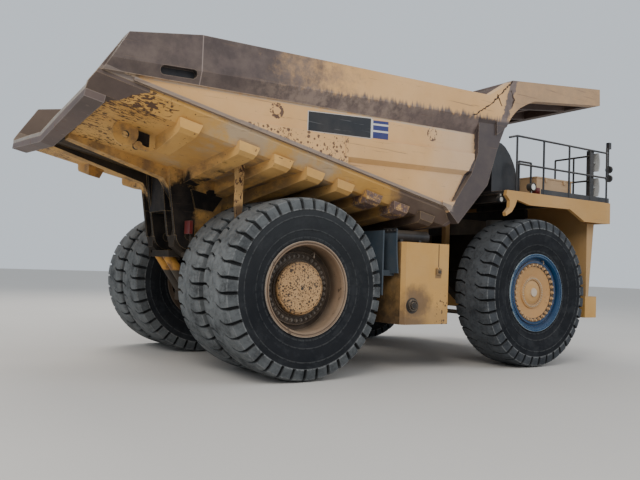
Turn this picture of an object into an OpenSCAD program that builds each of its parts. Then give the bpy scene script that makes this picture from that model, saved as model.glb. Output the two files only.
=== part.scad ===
// Rigid mining dump truck. Millimetres, +Z up, +X forward, +Y to the left.
// Lengths along the truck are measured from the rear axle, then the whole is centred.

/* [Overall] */
// Distance from the rear axle to the front axle
wheelbase = 5350; // [5200:10:5500]
// Distance from the front axle to the front face of the bumper and decks
front_overhang = 2400; // [2350:10:2550]
// Distance from the rear axle back to the tail of the load floor
tail_x = 3610; // [3500:10:3700]

/* [Wheels] */
// Outside diameter of each tyre
tyre_od = 3000; // [2940:10:3040]
// Width of each tyre
tyre_w = 950; // [900:5:980]
// Diameter of the rim's flange
rim_od = 1560; // [1500:5:1620]
// Sideways place of the front tyres' middle
front_y = 2800; // [2780:5:2850]
// Sideways place of the inner rear tyre's middle
rear_inner_y = 1546; // [1540:5:1570]
// Distance between the middles of a pair of rear tyres
dual_pitch = 1065; // [1040:5:1090]
// Number of grooves round each shoulder of a tyre
groove_count = 38; // [30:1:42]
// Width of a tread groove
groove_w = 44; // [25:1:60]
// Depth of a tread groove
groove_depth = 80; // [40:1:100]

/* [Load bed] */
// Half of the width over the top rails
bed_half = 3150; // [3050:10:3200]
// Thickness of the bed's side walls
side_t = 80; // [50:5:110]
// How far the top rails stand out from the side walls
rail_out = 130; // [90:5:160]
// Thickness of the floor
floor_t = 60; // [40:5:90]
// Thickness of the front wall
front_t = 90; // [60:5:120]
// Thickness of the canopy's sheet
canopy_t = 60; // [40:5:90]
// Spacing of the ribs under the floor
rib_pitch = 630; // [560:10:680]
// Number of full ribs under each half of the floor
rib_count = 7; // [5:1:7]
// Drop from the side wall's foot to the floor's outer edge
chamfer_drop = 215; // [150:5:260]
// Drop from the floor's outer edge to its middle
vee_drop = 245; // [180:5:300]
// Slope of the floor along the truck, in degrees
floor_slope = 12.4; // [12:0.1:13]
// Height of the side wall's foot above the ground, over the rear axle
foot_z = 3690; // [3650:5:3750]
// Lengthwise place of the tipping hinge
pivot_x = -1150; // [-1200:10:-1100]
// Height of the tipping hinge
pivot_z = 2350; // [2330:5:2380]
// Radius of the tipping hinge pins
pivot_pin_r = 80; // [60:5:90]

/* [Frame] */
// Sideways place of the middle of each frame rail
rail_y = 550; // [530:5:560]
// Width of each frame rail
rail_w = 260; // [220:5:280]
// Height of the frame's top face under the bed
frame_top = 2400; // [2380:5:2420]
// Gap between the bed's beams and the frame
bed_gap = 6; // [5:1:15]

/* [Steering] */
// Sideways place of the steering axes
kingpin_y = 2050; // [2030:5:2060]
// Radius of the front strut's rod
strut_rod_r = 140; // [120:5:150]
// Radius of the front strut's housing
strut_r = 190; // [175:5:200]
// Length of the steering arms
arm_len = 650; // [600:10:680]
// Height of the tie rod
tie_z = 1010; // [980:5:1040]

/* [Hoist] */
// Lengthwise place of the hoist cylinders' lower pins
hoist_x = 1400; // [1380:5:1420]
// Height of the hoist cylinders' lower pins
hoist_z = 950; // [940:5:980]
// Height of the hoist cylinders' upper pins
hoist_top_z = 2520; // [2500:5:2540]
// Sideways place of the hoist cylinders
hoist_y = 872; // [865:1:880]
// Outside radius of the hoist barrels
barrel_r = 145; // [130:5:150]
// Radius of the hoist cylinders' pins
hoist_pin_r = 60; // [45:5:70]

/* [Deck and cab] */
// Height of the decks' top face
deck_z = 3500; // [3480:5:3520]
// Half of the width over the decks
deck_half = 3200; // [3150:10:3230]
// Thickness of the decks' plates
deck_t = 60; // [40:5:80]
// Height of the top handrail above the deck
rail_h = 1110; // [1000:10:1150]
// Diameter of the handrail tubes
tube_d = 42; // [34:1:50]
// Length of the cab
cab_l = 1850; // [1750:10:1900]
// Width of the cab
cab_w = 1700; // [1600:10:1750]
// Height of the cab's walls
cab_h = 1600; // [1500:10:1650]
// Thickness of the cab's walls and door
cab_t = 60; // [40:5:80]
// Width of the cab's door
door_w = 700; // [650:5:720]

/* [Hidden] */
$fn = 72;

nose_x = wheelbase + front_overhang;
// Place given from the front axle
function ahead(dx) = wheelbase + dx;
// Shift that brings the middle of the length to the origin
centre_x = (nose_x - tail_x) / 2;
hub_z = tyre_od / 2;
// Clearance between pieces that rest on each other
seat = 0.3;
// Clearance round pins, journals and rods
pin_fit = 0.5;

// Load bed, from the rear axle
wall_y = bed_half - rail_out;          // outer face of the side walls
inner_y = wall_y - side_t;             // inner face of the side walls
foot_slope = tan(floor_slope);
edge_y = inner_y - 140;                // outer edge of the floor's top face
under_tan = vee_drop / (edge_y + 30);  // side slope of the floor's underside
top_front = [ahead(-1430), 5300];              // front end of the top rail
tail_kink = [-2050, 5180];
tail_top = [-3120, 5000];
tail_foot = [-3480, foot_z + 3480 * foot_slope];
canopy_heel = [ahead(-790), 5700];
canopy_tip = [nose_x - 370, 6000];
canopy_chin = [nose_x - 360, 5640];
canopy_throat = [[ahead(-120), 5390], [ahead(-345), 5293], [ahead(-560), 5180], [ahead(-683), 5082],
    [ahead(-790), 4970], [ahead(-867), 4866], [ahead(-930), 4750]];
throat_foot = canopy_throat[6];
post_front = [[ahead(-1160), 4250], [ahead(-1390), 3560], [ahead(-2150), 2760]];
foot_front = [ahead(-2470), foot_z - ahead(-2470) * foot_slope];
rail_fold = [4660, 4830];              // heights of the rail's fold at the tail and at the front
fold_x = [-1560, ahead(-1680)];        // places of these heights
rail_lip = [4400, 4520];

function foot_at(x) = foot_z - x * foot_slope;

// Puts a part drawn from the rear axle into the centred frame
module placed() translate([-centre_x, 0, 0]) children();
// Prism of a side-view outline [x, z] between two sideways places
module side_prism(points, y0, y1) translate([0, y1, 0]) rotate([90, 0, 0]) linear_extrude(y1 - y0) polygon(points);
// Prism of a cross-section [y, z] between two lengthwise places
module cross_prism(points, x0, x1) translate([x0, 0, 0]) rotate([90, 0, 90]) linear_extrude(x1 - x0) polygon(points);
// Box between two corners
module block(a, b) translate(a) cube(b - a);
// Cylinder along Y between two sideways places
module axle_bar(x, z, r, y0, y1) translate([x, y1, z]) rotate([90, 0, 0]) cylinder(r = r, h = y1 - y0);
// Solid of revolution about the Y axis through [x, z]; points are [radius, y]
module turned(x, z, points) translate([x, 0, z]) rotate([-90, 0, 0]) rotate_extrude() polygon(points);
// Round bar between two points
module bar(a, b, d) {
    v = b - a;
    l = norm(v);
    translate(a) rotate([0, acos(v[2] / l), atan2(v[1], v[0])]) cylinder(d = d, h = l, $fn = 20);
}
// Both sides of the truck
module both_sides() { children(); mirror([0, 1, 0]) children(); }

// Floor frame: X runs down the floor, Z stands square on it
module floor_frame() translate([0, 0, foot_z]) rotate([0, floor_slope, 0]) children();
function floor_top() = [[wall_y, 0], [inner_y, 0], [edge_y, -chamfer_drop], [0, -chamfer_drop - vee_drop],
    [-edge_y, -chamfer_drop], [-inner_y, 0], [-wall_y, 0]];
function floor_under() = [[-wall_y, -floor_t], [-edge_y - 30, -chamfer_drop - floor_t],
    [0, -chamfer_drop - vee_drop - floor_t], [edge_y + 30, -chamfer_drop - floor_t], [wall_y, -floor_t]];

wall_top = canopy_heel[1] - canopy_t + 1;
// Outline of the front wall's outer face, from the floor up to the canopy
function wall_line() = concat([[ahead(-2790), 2120]], [post_front[2], post_front[1], post_front[0]],
    [throat_foot, [ahead(-750), 5000], [ahead(-670), wall_top]]);
function wall_inner() = [for (p = wall_line()) [p[0] - front_t * 1.15, p[1]]];

module bed_floor() {
    color("saddlebrown") placed() difference() {
        floor_frame() cross_prism(concat(floor_top(), floor_under()), -4400, ahead(-1350));
        side_prism([[-2000, 6000], tail_top, tail_foot, [-3580, 4300], [-tail_x, 4100], [-tail_x, 3000],
            [-6000, 3000], [-6000, 6000]], -bed_half, bed_half);
        side_prism(concat(wall_inner(), [[6000, wall_top], [6000, 2120]]), -bed_half, bed_half);
        both_sides() side_prism(side_outline(), inner_y, bed_half);
    }
}

function side_outline() = concat([tail_foot, tail_top, tail_kink, top_front, canopy_heel],
    [[ahead(-650), canopy_heel[1]], canopy_throat[4], canopy_throat[5], throat_foot], post_front, [foot_front]);

slot_r = 62;
post_heel = ahead(-2540);              // rear end of the front post's foot
module bed_side() {
    fold_slope = atan((rail_fold[1] - rail_fold[0]) / (fold_x[1] - fold_x[0]));
    // Wall sheet
    side_prism(side_outline(), inner_y, wall_y);
    // Top rail, carried on into the canopy's cheek, its lower half folded in to the wall
    difference() {
        side_prism(concat([[tail_foot[0] + 40, rail_lip[0] + 40], tail_top, tail_kink, top_front, canopy_heel, canopy_tip,
            canopy_chin], canopy_throat, [[ahead(-1250), rail_lip[1]]]), wall_y, bed_half);
        translate([-3600, 0, rail_fold[0] - (3600 + fold_x[0]) * tan(fold_slope)]) rotate([0, -fold_slope, 0])
            cross_prism([[bed_half + 10, 24], [bed_half + 10, -600], [wall_y - 10, -600], [wall_y - 10, -24 * rail_out / 10]],
                0, ahead(-1210) + 3600);
        // Slot in the folded face near the tail
        translate([-2590, bed_half - 105, 4572]) rotate([0, -fold_slope, 0]) {
            translate([0, 0, -slot_r]) cube([430, 200, 2 * slot_r]);
            for (dx = [0, 430]) translate([dx, 0, 0]) rotate([-90, 0, 0]) cylinder(r = slot_r, h = 200);
        }
    }
    side_prism([canopy_heel, canopy_tip, canopy_chin, canopy_throat[0], canopy_throat[1], canopy_throat[2],
        [ahead(-650), 5200]], inner_y, wall_y);
    // Front post
    side_prism([[ahead(-970), rail_fold[1] - 10], throat_foot, post_front[0], post_front[1], post_front[2], foot_front,
        [post_heel, foot_at(post_heel) + 4], [post_heel, foot_at(post_heel) + 90], [ahead(-2260), 3150], [ahead(-1830), 3730],
        [ahead(-1670), 4140], [ahead(-1660), 4800]], wall_y - 20, wall_y + 90);
    // Box rib along the middle and the doubler plate behind it
    translate([600, 0, 4060]) rotate([0, -1.2, 0])
        cross_prism([[wall_y - 20, 0], [wall_y + 80, 0], [wall_y + 80, -340], [wall_y - 20, -440]], 0, ahead(-1750) - 600);
    side_prism([[(foot_z - 4050) / foot_slope + 18, 4050], [660, 4050], [660, foot_at(660) + 4]], wall_y - 20, wall_y + 70);
    // Wear strip along the foot
    side_prism([[-3000, foot_at(-3000) + 8], [-3000, foot_at(-3000) + 60], [ahead(-2480), foot_at(ahead(-2480)) + 60], [ahead(-2480), foot_at(ahead(-2480)) + 8]],
        wall_y - 20, wall_y + 60);
}
module bed_side_left() { color("burlywood") placed() bed_side(); }
module bed_side_right() { color("burlywood") placed() mirror([0, 1, 0]) bed_side(); }

module bed_front() {
    color("rosybrown") placed() difference() {
        side_prism(concat(wall_line(), [for (i = [len(wall_line()) - 1 : -1 : 0]) wall_inner()[i]]), -inner_y, inner_y);
        floor_frame() cross_prism(concat(floor_under(), [[bed_half + 50, -floor_t], [bed_half + 50, -2500],
            [-bed_half - 50, -2500], [-bed_half - 50, -floor_t]]), -1000, wheelbase);
    }
}

module bed_canopy() {
    chin = canopy_chin[1];
    rise = (canopy_tip[1] - canopy_heel[1]) / (canopy_tip[0] - canopy_heel[0]);
    function roof_at(x) = canopy_heel[1] + (x - canopy_heel[0]) * rise;
    sheet_x = canopy_heel[0] + 15;
    rib_space = 0.39 * inner_y;
    color("tan") placed() {
        difference() {
            union() {
                // Sheet from the top of the front wall to the tip
                side_prism([[sheet_x, roof_at(sheet_x)], canopy_tip, [canopy_tip[0], canopy_tip[1] - canopy_t],
                    [sheet_x, roof_at(sheet_x) - canopy_t]], -inner_y, inner_y);
                // Front beam
                side_prism([[canopy_tip[0] - 170, canopy_tip[1] - canopy_t], [canopy_tip[0], canopy_tip[1] - canopy_t],
                    canopy_chin, [canopy_chin[0] - 180, chin]], -inner_y, inner_y);
                // Lengthwise ribs under the sheet
                for (i = [-2 : 2])
                    side_prism([[ahead(-670) + seat, wall_top], [ahead(-670) + seat, roof_at(ahead(-670)) - canopy_t],
                        [canopy_tip[0] - 100, roof_at(canopy_tip[0] - 100) - canopy_t], [canopy_tip[0] - 100, chin + 10],
                        canopy_throat[0], canopy_throat[1], canopy_throat[2], [ahead(-735) + seat, 5120]],
                        i * rib_space - 40, i * rib_space + 40);
                // Cross ribs
                for (x = [ahead(-50) : 700 : canopy_tip[0] - 600])
                    side_prism([[x - 60, roof_at(x) - canopy_t + 5], [x + 60, roof_at(x) - canopy_t + 5],
                        [x + 60, roof_at(x) - 230], [x - 60, roof_at(x) - 230]], -inner_y, inner_y);
            }
        }
        // Raised lip along the tip
        side_prism([[canopy_tip[0] - 600, roof_at(canopy_tip[0] - 600)], canopy_tip,
            [canopy_tip[0], canopy_tip[1] + 20], [canopy_tip[0] - 600, roof_at(canopy_tip[0] - 600) + 20]], -inner_y, inner_y);
    }
}

// Rib places along the floor, from the tail side
rib_first = -1090;
rib_tail = -2085;
rib_list = [for (i = [0 : rib_count - 1]) rib_first + i * rib_pitch];
// Hoist pins between the fifth and the sixth rib, at their half height
hoist_top_x = (rib_first + 4.5 * rib_pitch) * cos(floor_slope) - 486 * sin(floor_slope);
beam_out = rail_y + rail_w / 2;        // outer face of the bed's beams and the frame rails
beam_in = rail_y - rail_w / 2;
function under_at(y) = -chamfer_drop - vee_drop - floor_t + abs(y) * under_tan;

// Underside of the floor's chamfer
function chamfer_at(y) = -chamfer_drop - floor_t + (y - edge_y - 30) * chamfer_drop / (wall_y - edge_y - 30);

function rib_start(i) = beam_out + seat + (i < 2 ? plate_gap + plate_t + keeper_t : 0);
module floor_rib(s, y0) {
    end_y = wall_y - 70;
    intersection() {
        cross_prism([[y0, under_at(y0) - seat], [edge_y + 30, -chamfer_drop - floor_t - seat], [end_y, chamfer_at(end_y) - seat],
            [end_y, -chamfer_drop - 130], [end_y - 70, -chamfer_drop - 190], [y0, under_at(y0) - 230]], s - 200, s + 200);
        translate([0, 0, under_at(0)]) rotate([atan(under_tan), 0, 0])
            side_prism([[s - 185, 60], [s - 105, -260], [s + 105, -260], [s + 185, 60]], 0, bed_half);
    }
}
module bed_ribs() {
    color("goldenrod") placed() both_sides() floor_frame() {
        // The first ribs start outside the hinge plates
        for (i = [0 : rib_count - 1]) floor_rib(rib_list[i], rib_start(i));
        floor_rib(rib_tail, beam_out + 1280);
    }
}

plate_t = 80;                          // thickness of the hinge plates
plate_gap = 10;                        // gap between hinge plates and frame rails
keeper_t = 30;                         // thickness of the hinge pins' keeper plates
module beam_profile(y0, y1) {
    side_prism([[-3300, 4350], [-3300, 3856], [-1650, 3360], [-1350, 2900], [-700, 2750], [-450, frame_top + bed_gap],
        [ahead(-2650), frame_top + bed_gap], [ahead(-2450), frame_top + 60], [ahead(-2450), 4350]], y0, y1);
}
module above_floor() {
    floor_frame() cross_prism(concat(floor_under(), [[bed_half, 2500], [-bed_half, 2500]]), -6000, 6000);
}
module hinge_plate(y0, y1) {
    side_prism([[-1620, 3900], [-1560, 3300], [-1420, pivot_z], [-900, pivot_z], [-560, 2800], [-420, 3900]], y0, y1);
    axle_bar(pivot_x, pivot_z, 250, y0, y1);
}
lug_x = -2770;                         // place of the ring lug under the tail
lug_y = 2000;
lug_z = 3790;
lug_face = hoist_y - 100;              // face of the lug beside the hoist rod's eye
// Hinge plates and hoist lugs outside the beams
module beam_fittings() {
    hinge_plate(beam_out + plate_gap, beam_out + plate_gap + plate_t);
    side_prism([[-1620, 3900], [-1560, 3300], [-1500, 2850], [-560, 2850], [-420, 3900]], beam_out, beam_out + plate_gap);
    side_prism([[hoist_top_x - 115, 3200], [hoist_top_x - 115, hoist_top_z], [hoist_top_x + 115, hoist_top_z],
        [hoist_top_x + 115, 3200]], beam_out, lug_face);
    axle_bar(hoist_top_x, hoist_top_z, 115, beam_out, lug_face);
    // Humped keeper plate of the hinge pin, on the plate's outer face
    side_prism([[-1160, 3190], [-1070, 2850], [-720, 2810], [-530, 3080], [-670, 3110], [-670, 3170], [-720, 3210], [-810, 3210],
        [-860, 3170], [-860, 3130]], beam_out + plate_gap + plate_t - 1, beam_out + plate_gap + plate_t + keeper_t);
}
// Ring lug and the body prop's hook under the tail
module tail_lugs() {
    axle_bar(lug_x, lug_z + 25, 200, -lug_y - 30, -lug_y + 30);
    block([-2610, -lug_y + 60, 3640], [-2360, -lug_y + 110, 4200]);
    axle_bar(-2560, 3650, 60, -lug_y - 20, -lug_y + 110);
    side_prism([[-2560, 3600], [-2420, 3565], [-2340, 3585], [-2290, 3630], [-2350, 3640], [-2430, 3630], [-2560, 3680]],
        -lug_y - 20, -lug_y + 30);
}
module bed_beams() {
    color("peru") placed() difference() {
        union() {
            both_sides() {
                beam_profile(beam_in, beam_out);
                hinge_plate(beam_in - plate_gap - plate_t, beam_in - plate_gap);
                side_prism([[-1620, 3900], [-1560, 3300], [-1500, 2850], [-560, 2850], [-420, 3900]], beam_in - plate_gap, beam_in);
                beam_fittings();
            }
            // Cross member at the hinge
            block([-1500, -beam_in, 2800], [-1250, beam_in, 3600]);
            tail_lugs();
        }
        above_floor();
        both_sides() {
            axle_bar(pivot_x, pivot_z, pivot_pin_r + pin_fit, 0, beam_out + 200);
            // Room for the frame's hinge horns
            axle_bar(pivot_x, pivot_z, 260, beam_in - plate_gap, beam_out + plate_gap);
        }
        axle_bar(lug_x, lug_z, 55, -lug_y - 100, -lug_y + 50);
    }
}

module bed_tail() {
    color("dimgray") placed() difference() {
        floor_frame() union() {
            for (side = [-1, 1])
                cross_prism([[0, under_at(0)], [side * (edge_y + 30), -chamfer_drop - floor_t],
                    [side * (edge_y + 30), -chamfer_drop - floor_t - 110], [0, under_at(0) - 110]], -3900, -3330);
        }
        side_prism([[-2000, 6000], tail_top, tail_foot, [-3580, 4300], [-tail_x, 4100], [-tail_x, 3000],
            [-6000, 3000], [-6000, 6000]], -bed_half, bed_half);
        both_sides() block([-3160, beam_in - 1, 3000], [-2000, beam_out + 1, 5000]);
    }
}

// Bars that hang between the dual tyres
ejector_y = rear_inner_y + dual_pitch / 2;
module rock_ejectors() {
    x = -845;
    color("olivedrab") placed() both_sides() difference() {
        union() {
            side_prism([[x - 70, 3700], [x + 70, 3700], [x + 70, 2800], [x + 45, 2620], [x - 45, 2620], [x - 70, 2800]],
                ejector_y - 25, ejector_y + 25);
            // Hanger with its pin
            for (y = [ejector_y - 60, ejector_y + 30]) side_prism([[x - 95, 3800], [x + 95, 3800], [x + 60, 3330], [x - 60, 3330]], y, y + 30);
            axle_bar(x, 3400, 35, ejector_y - 80, ejector_y + 80);
        }
        above_floor();
    }
}

// Places of the bumper
bumper_rear = nose_x - 420;
rail_end = bumper_rear - 130;           // front end of the rails' upper part
tail_lamp_x = -1240;                   // rear face of the tail lamps' brackets
bumper_top = 1420;
// Frame rails with their cross members, hinge horns and hoist brackets
module rail_side() {
    side_prism([[-1400, 2150], [-1400, 2350], [-900, frame_top], [ahead(-2250), frame_top], [ahead(-1750), 2150], [rail_end, 2150],
        [rail_end, bumper_top], [bumper_rear - seat, bumper_top], [bumper_rear - seat, 1050], [rail_end - 200, 1050], [ahead(950), 1600],
        [ahead(-1850), 1600], [ahead(-2150), 1500], [hoist_x - 150, 1500], [700, 1960], [-1150, 1960]], beam_in, beam_out);
    axle_bar(pivot_x, pivot_z, 215, beam_in, beam_out);
    axle_bar(pivot_x, pivot_z, pivot_pin_r, beam_in - plate_gap - plate_t, beam_out + plate_gap + plate_t);
    // Drop bracket and lower pin of the hoist
    side_prism([[hoist_x - 260, 1520], [hoist_x - 140, hoist_z], [hoist_x + 140, hoist_z], [hoist_x + 260, 1520]], beam_in + 60, beam_out - 60);
    axle_bar(hoist_x, hoist_z, 140, beam_in + 60, beam_out - 60);
    axle_bar(hoist_x, hoist_z, hoist_pin_r, beam_in + 60, hoist_y + 75);
}
strut_seat_y = kingpin_y - strut_r + 40;
tank_in = 1446;                        // inner face of the tanks
module frame() {
    color("dimgray") placed() {
        both_sides() rail_side();
        // Cross members
        block([-1400, -beam_in, 1960], [-1180, beam_in, 2080]);
        for (x = [hoist_x + 250, ahead(-2550)]) block([x, -beam_in, 2150], [x + 220, beam_in, 2390]);
        block([ahead(-1600), -beam_in, 1980], [ahead(-1450), beam_in, 2140]);
        axle_bar(hoist_x, hoist_z, 90, -beam_in - 60, beam_in + 60);
        // Front suspension beam across the rails
        both_sides() {
            block([wheelbase - 260, beam_out, 1900], [wheelbase + 260, strut_seat_y, 2700]);
            block([ahead(-1850), beam_out, 2050], [ahead(-1730), 1500, 2140]);
            // Brackets of the tail lamps
            block([tail_lamp_x, beam_out - 20, 1970], [-1090, 1060, 2040]);
            block([tail_lamp_x, 980, 1970], [tail_lamp_x + 60, 1060, 2620]);
            block([2300, beam_out, 1700], [2500, tank_in - seat, 1900]);
            block([2800, beam_out, 1700], [3000, tank_in - seat, 1900]);
            block([rail_end - 120, beam_out, 1750], [rail_end, 1500, 2150]);
        }
        block([wheelbase - 260, -beam_out, 2140], [wheelbase + 260, beam_out, 2700]);
        block([wheelbase - 200, -beam_in, 1460], [wheelbase + 200, beam_in, 1610]);
    }
}

// Rear axle with final drives, and the link frame to the chassis
journal_r = 300;                       // rear wheel journals
journal_y = rear_inner_y + dual_pitch - 205;
axle_half = [[540, 300], [340, 600], [360, 1000], [400, 1100], [380, 2150], [journal_r, 2150], [journal_r, journal_y], [0, journal_y]];
axle_profile = concat([for (i = [len(axle_half) - 1 : -1 : 0]) [axle_half[i][0], -axle_half[i][1]]], axle_half);
link_z = hub_z - 350;                  // underside of the axle's link frame
module rear_axle() {
    color("dimgray") placed() {
        turned(0, hub_z, axle_profile);
        difference() {
            cross_prism([[-360, link_z], [360, link_z], [300, link_z + 190], [-300, link_z + 190]], 300, 1100);
            block([600, -150, link_z - 150], [950, 150, hub_z + 500]);
        }
        block([-960, -300, link_z], [-420, 300, link_z + 180]);
    }
}

// Struts: like pieces, front housings and rear cylinders
rear_strut_top = [-1290, 200, 1960];
rear_strut_foot = [-860, 200, link_z + 180];
module suspension_struts() {
    color("goldenrod") placed() both_sides() {
        difference() {
            translate([wheelbase, kingpin_y, 1950]) cylinder(r = strut_r, h = 1050);
            translate([wheelbase, kingpin_y, 1900]) cylinder(r = strut_rod_r + pin_fit, h = 500);
            block([wheelbase - 300, 1000, 1900], [wheelbase + 300, strut_seat_y, 2700]);
        }
        difference() {
            bar(rear_strut_foot + [60, 0, -88], rear_strut_top + [-60, 0, 88], 210);
            block([-1500, 0, 1960], [-1000, 400, 2300]);
            block([-1000, 0, link_z - 150], [-400, 400, link_z + 180]);
        }
    }
}

module engine() {
    color("gray") placed() {
        block([ahead(300), -400, 1650], [ahead(1650), 400, 3150]);
        block([ahead(-1150), -400, 1700], [ahead(-310), 400, 2700]);
        both_sides() {
            block([ahead(850), 400, 1800], [ahead(1050), beam_in - seat, 2000]);
            block([ahead(-850), 400, 1800], [ahead(-650), beam_in - seat, 2000]);
        }
    }
}

module drive_shaft() {
    color("gray") placed() {
        bar([541.2, 0, 1520], [ahead(-1158.1), 0, 1900], 150);
    }
}

// Radiator core in its shell with a slatted grille
grille_half = 1250;
module radiator() {
    slat_pitch = 110;
    core_x = rail_end + 200;           // front face of the core
    color("darkslategray") placed() {
        block([rail_end + seat, -grille_half, bumper_top + seat], [core_x, grille_half, deck_z - deck_t]);
        difference() {
            block([core_x, -grille_half, bumper_top + seat], [nose_x - 150, grille_half, deck_z - deck_t]);
            block([core_x - 10, -grille_half + 80, bumper_top + 80], [nose_x, grille_half - 80, deck_z - deck_t - 80]);
        }
        for (z = [bumper_top + 160 : slat_pitch : deck_z - deck_t - 140])
            block([core_x + 80, -grille_half + 80, z], [core_x + 130, grille_half - 80, z + 30]);
        for (y = [-grille_half / 3, grille_half / 3])
            block([core_x + 60, y - 25, bumper_top + 80], [core_x + 140, y + 25, deck_z - deck_t - 80]);
    }
}

module bumper() {
    color("burlywood") placed() {
        difference() {
            block([bumper_rear, -2900, 950], [nose_x - 20, 2900, bumper_top]);
            for (y = [-2300, 2300], dy = [-230, 230])
                translate([nose_x - 80, y + dy, 1190]) rotate([0, 90, 0]) cylinder(r = 150, h = 200);
        }
    }
}

module lamps() {
    color("whitesmoke") placed() {
        for (y = [-2300, 2300], dy = [-230, 230])
            translate([nose_x - 80 + seat, y + dy, 1190]) rotate([0, 90, 0]) cylinder(r = 140, h = 55);
        // Work lamp on its stalk and a marker on the right deck
        translate([ahead(-50), -deck_half + 160, deck_z + seat]) cylinder(r = 20, h = 100);
        axle_bar(ahead(-50), deck_z + 150, 75, -deck_half + 100, -deck_half + 220);
        block([ahead(60), -deck_half + 130, deck_z + seat], [ahead(190), -deck_half + 260, deck_z + 150]);
        // Work lamps under the decks' rear ends and tail lamps
        both_sides() {
            axle_bar(deck_rear + 20, deck_z - deck_t - 110, 60, deck_half - 260, deck_half - 170);
            block([deck_rear - 5, deck_half - 245, deck_z - deck_t - 60], [deck_rear + 45, deck_half - 185, deck_z - deck_t - seat]);
            block([tail_lamp_x - 60, 900, 2370], [tail_lamp_x - seat, 1130, 2600]);
        }
        // Markers on the deck fronts
        both_sides() block([nose_x, 2950, 3250], [nose_x + 60, 3080, 3370]);
    }
}

// Tanks between the axles
tank_y = 2940;
tank_top = 2370;
module tank(x0, x1, z0, z1, y0) {
    r = 70;
    translate([0, 0, z0]) linear_extrude(z1 - z0) polygon([[x0 + r, y0], [x1 - r, y0], [x1, y0 + r],
        [x1, tank_y - r], [x1 - r, tank_y], [x0 + r, tank_y], [x0, tank_y - r], [x0, y0 + r]]);
}
module fuel_tank() {
    color("burlywood") placed() mirror([0, 1, 0]) {
        tank(2050, 3220, 880, tank_top, tank_in);
        // Filler with its cap, and the latch of the side cover
        translate([2290, tank_y, 1230]) rotate([-90, 0, 0]) difference() {
            cylinder(r = 105, h = 35);
            translate([0, 0, 12]) cylinder(r = 85, h = 40);
        }
        translate([2290, tank_y - 1, 1230]) rotate([-90, 0, 0]) cylinder(r = 62, h = 48);
        block([2850, tank_y - 1, 1800], [2960, tank_y + 28, 1930]);
        block([2880, tank_y, 1830], [2930, tank_y + 50, 1870]);
    }
}
module hydraulic_tank() {
    color("burlywood") placed() {
        tank(2050, 3150, 900, 2300, tank_in);
        translate([2600, 2600, 2300]) cylinder(r = 110, h = 90);
    }
}
module air_receiver() {
    color("darkslategray") placed() mirror([0, 1, 0]) {
        translate([2050, 2500, 2495]) rotate([0, 90, 0]) cylinder(r = 115, h = 900);
        for (x = [2250, 2700]) block([x, 2400, tank_top + seat], [x + 60, 2600, 2430]);
    }
}
module mud_flaps() {
    color("black") placed() both_sides() {
        block([1720, 1150, 1400], [1750, 2750, 2560]);
        for (y = [1600, 2600]) block([1750, y, 1750], [2050 - seat, y + 80, 1850]);
    }
}

// Decks over the front wheels and the hood between them
deck_rear = ahead(-930);
module deck_half_part() {
    skirt = 80;
    // Plate
    block([deck_rear, 960, deck_z - deck_t], [nose_x - 90, deck_half - skirt, deck_z]);
    // Side skirt with its stepped foot
    side_prism([[deck_rear, deck_z], [nose_x, deck_z], [nose_x, 3040], [ahead(1500), 3035], [ahead(1000), 3265], [ahead(-260), 3250],
        [ahead(-640), 3330], [ahead(-700), 3200], [ahead(-790), 3080], [deck_rear - 20, 2990], [deck_rear - 40, 3060], [ahead(-860), 3160],
        [ahead(-850), 3300], [deck_rear - 30, 3400]], deck_half - skirt, deck_half);
    // Front skirt
    block([nose_x - 90, grille_half, 3040], [nose_x, deck_half - skirt, deck_z]);
    // Cross beams under the plate
    for (x = [ahead(-850), ahead(550)]) block([x, 960, deck_z - deck_t - 150], [x + 120, deck_half - skirt, deck_z - deck_t]);
}
module deck() {
    color("burlywood") placed() {
        both_sides() deck_half_part();
        block([ahead(-450), -960, deck_z - deck_t], [nose_x - 90, 960, deck_z]);
        block([nose_x - 90, -grille_half, deck_z - deck_t], [nose_x, grille_half, deck_z]);
    }
}

// Panels that carry the decks on the frame and the bumper
panel_x = nose_x - 400;
module front_panels() {
    color("burlywood") placed() both_sides() {
        side_prism([[panel_x, bumper_top], [panel_x, 3040], [panel_x + 250, 3040], [panel_x + 90, bumper_top]], 2820, 2900);
        block([panel_x, grille_half + seat, bumper_top], [panel_x + 70, 2820, deck_z - deck_t]);
        block([ahead(-850), 1300, 2050], [ahead(-730), 1420, deck_z - deck_t - 150]);
        block([ahead(-850), beam_out + seat, 1950], [ahead(-730), 1420, 2100]);
    }
}

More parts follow.
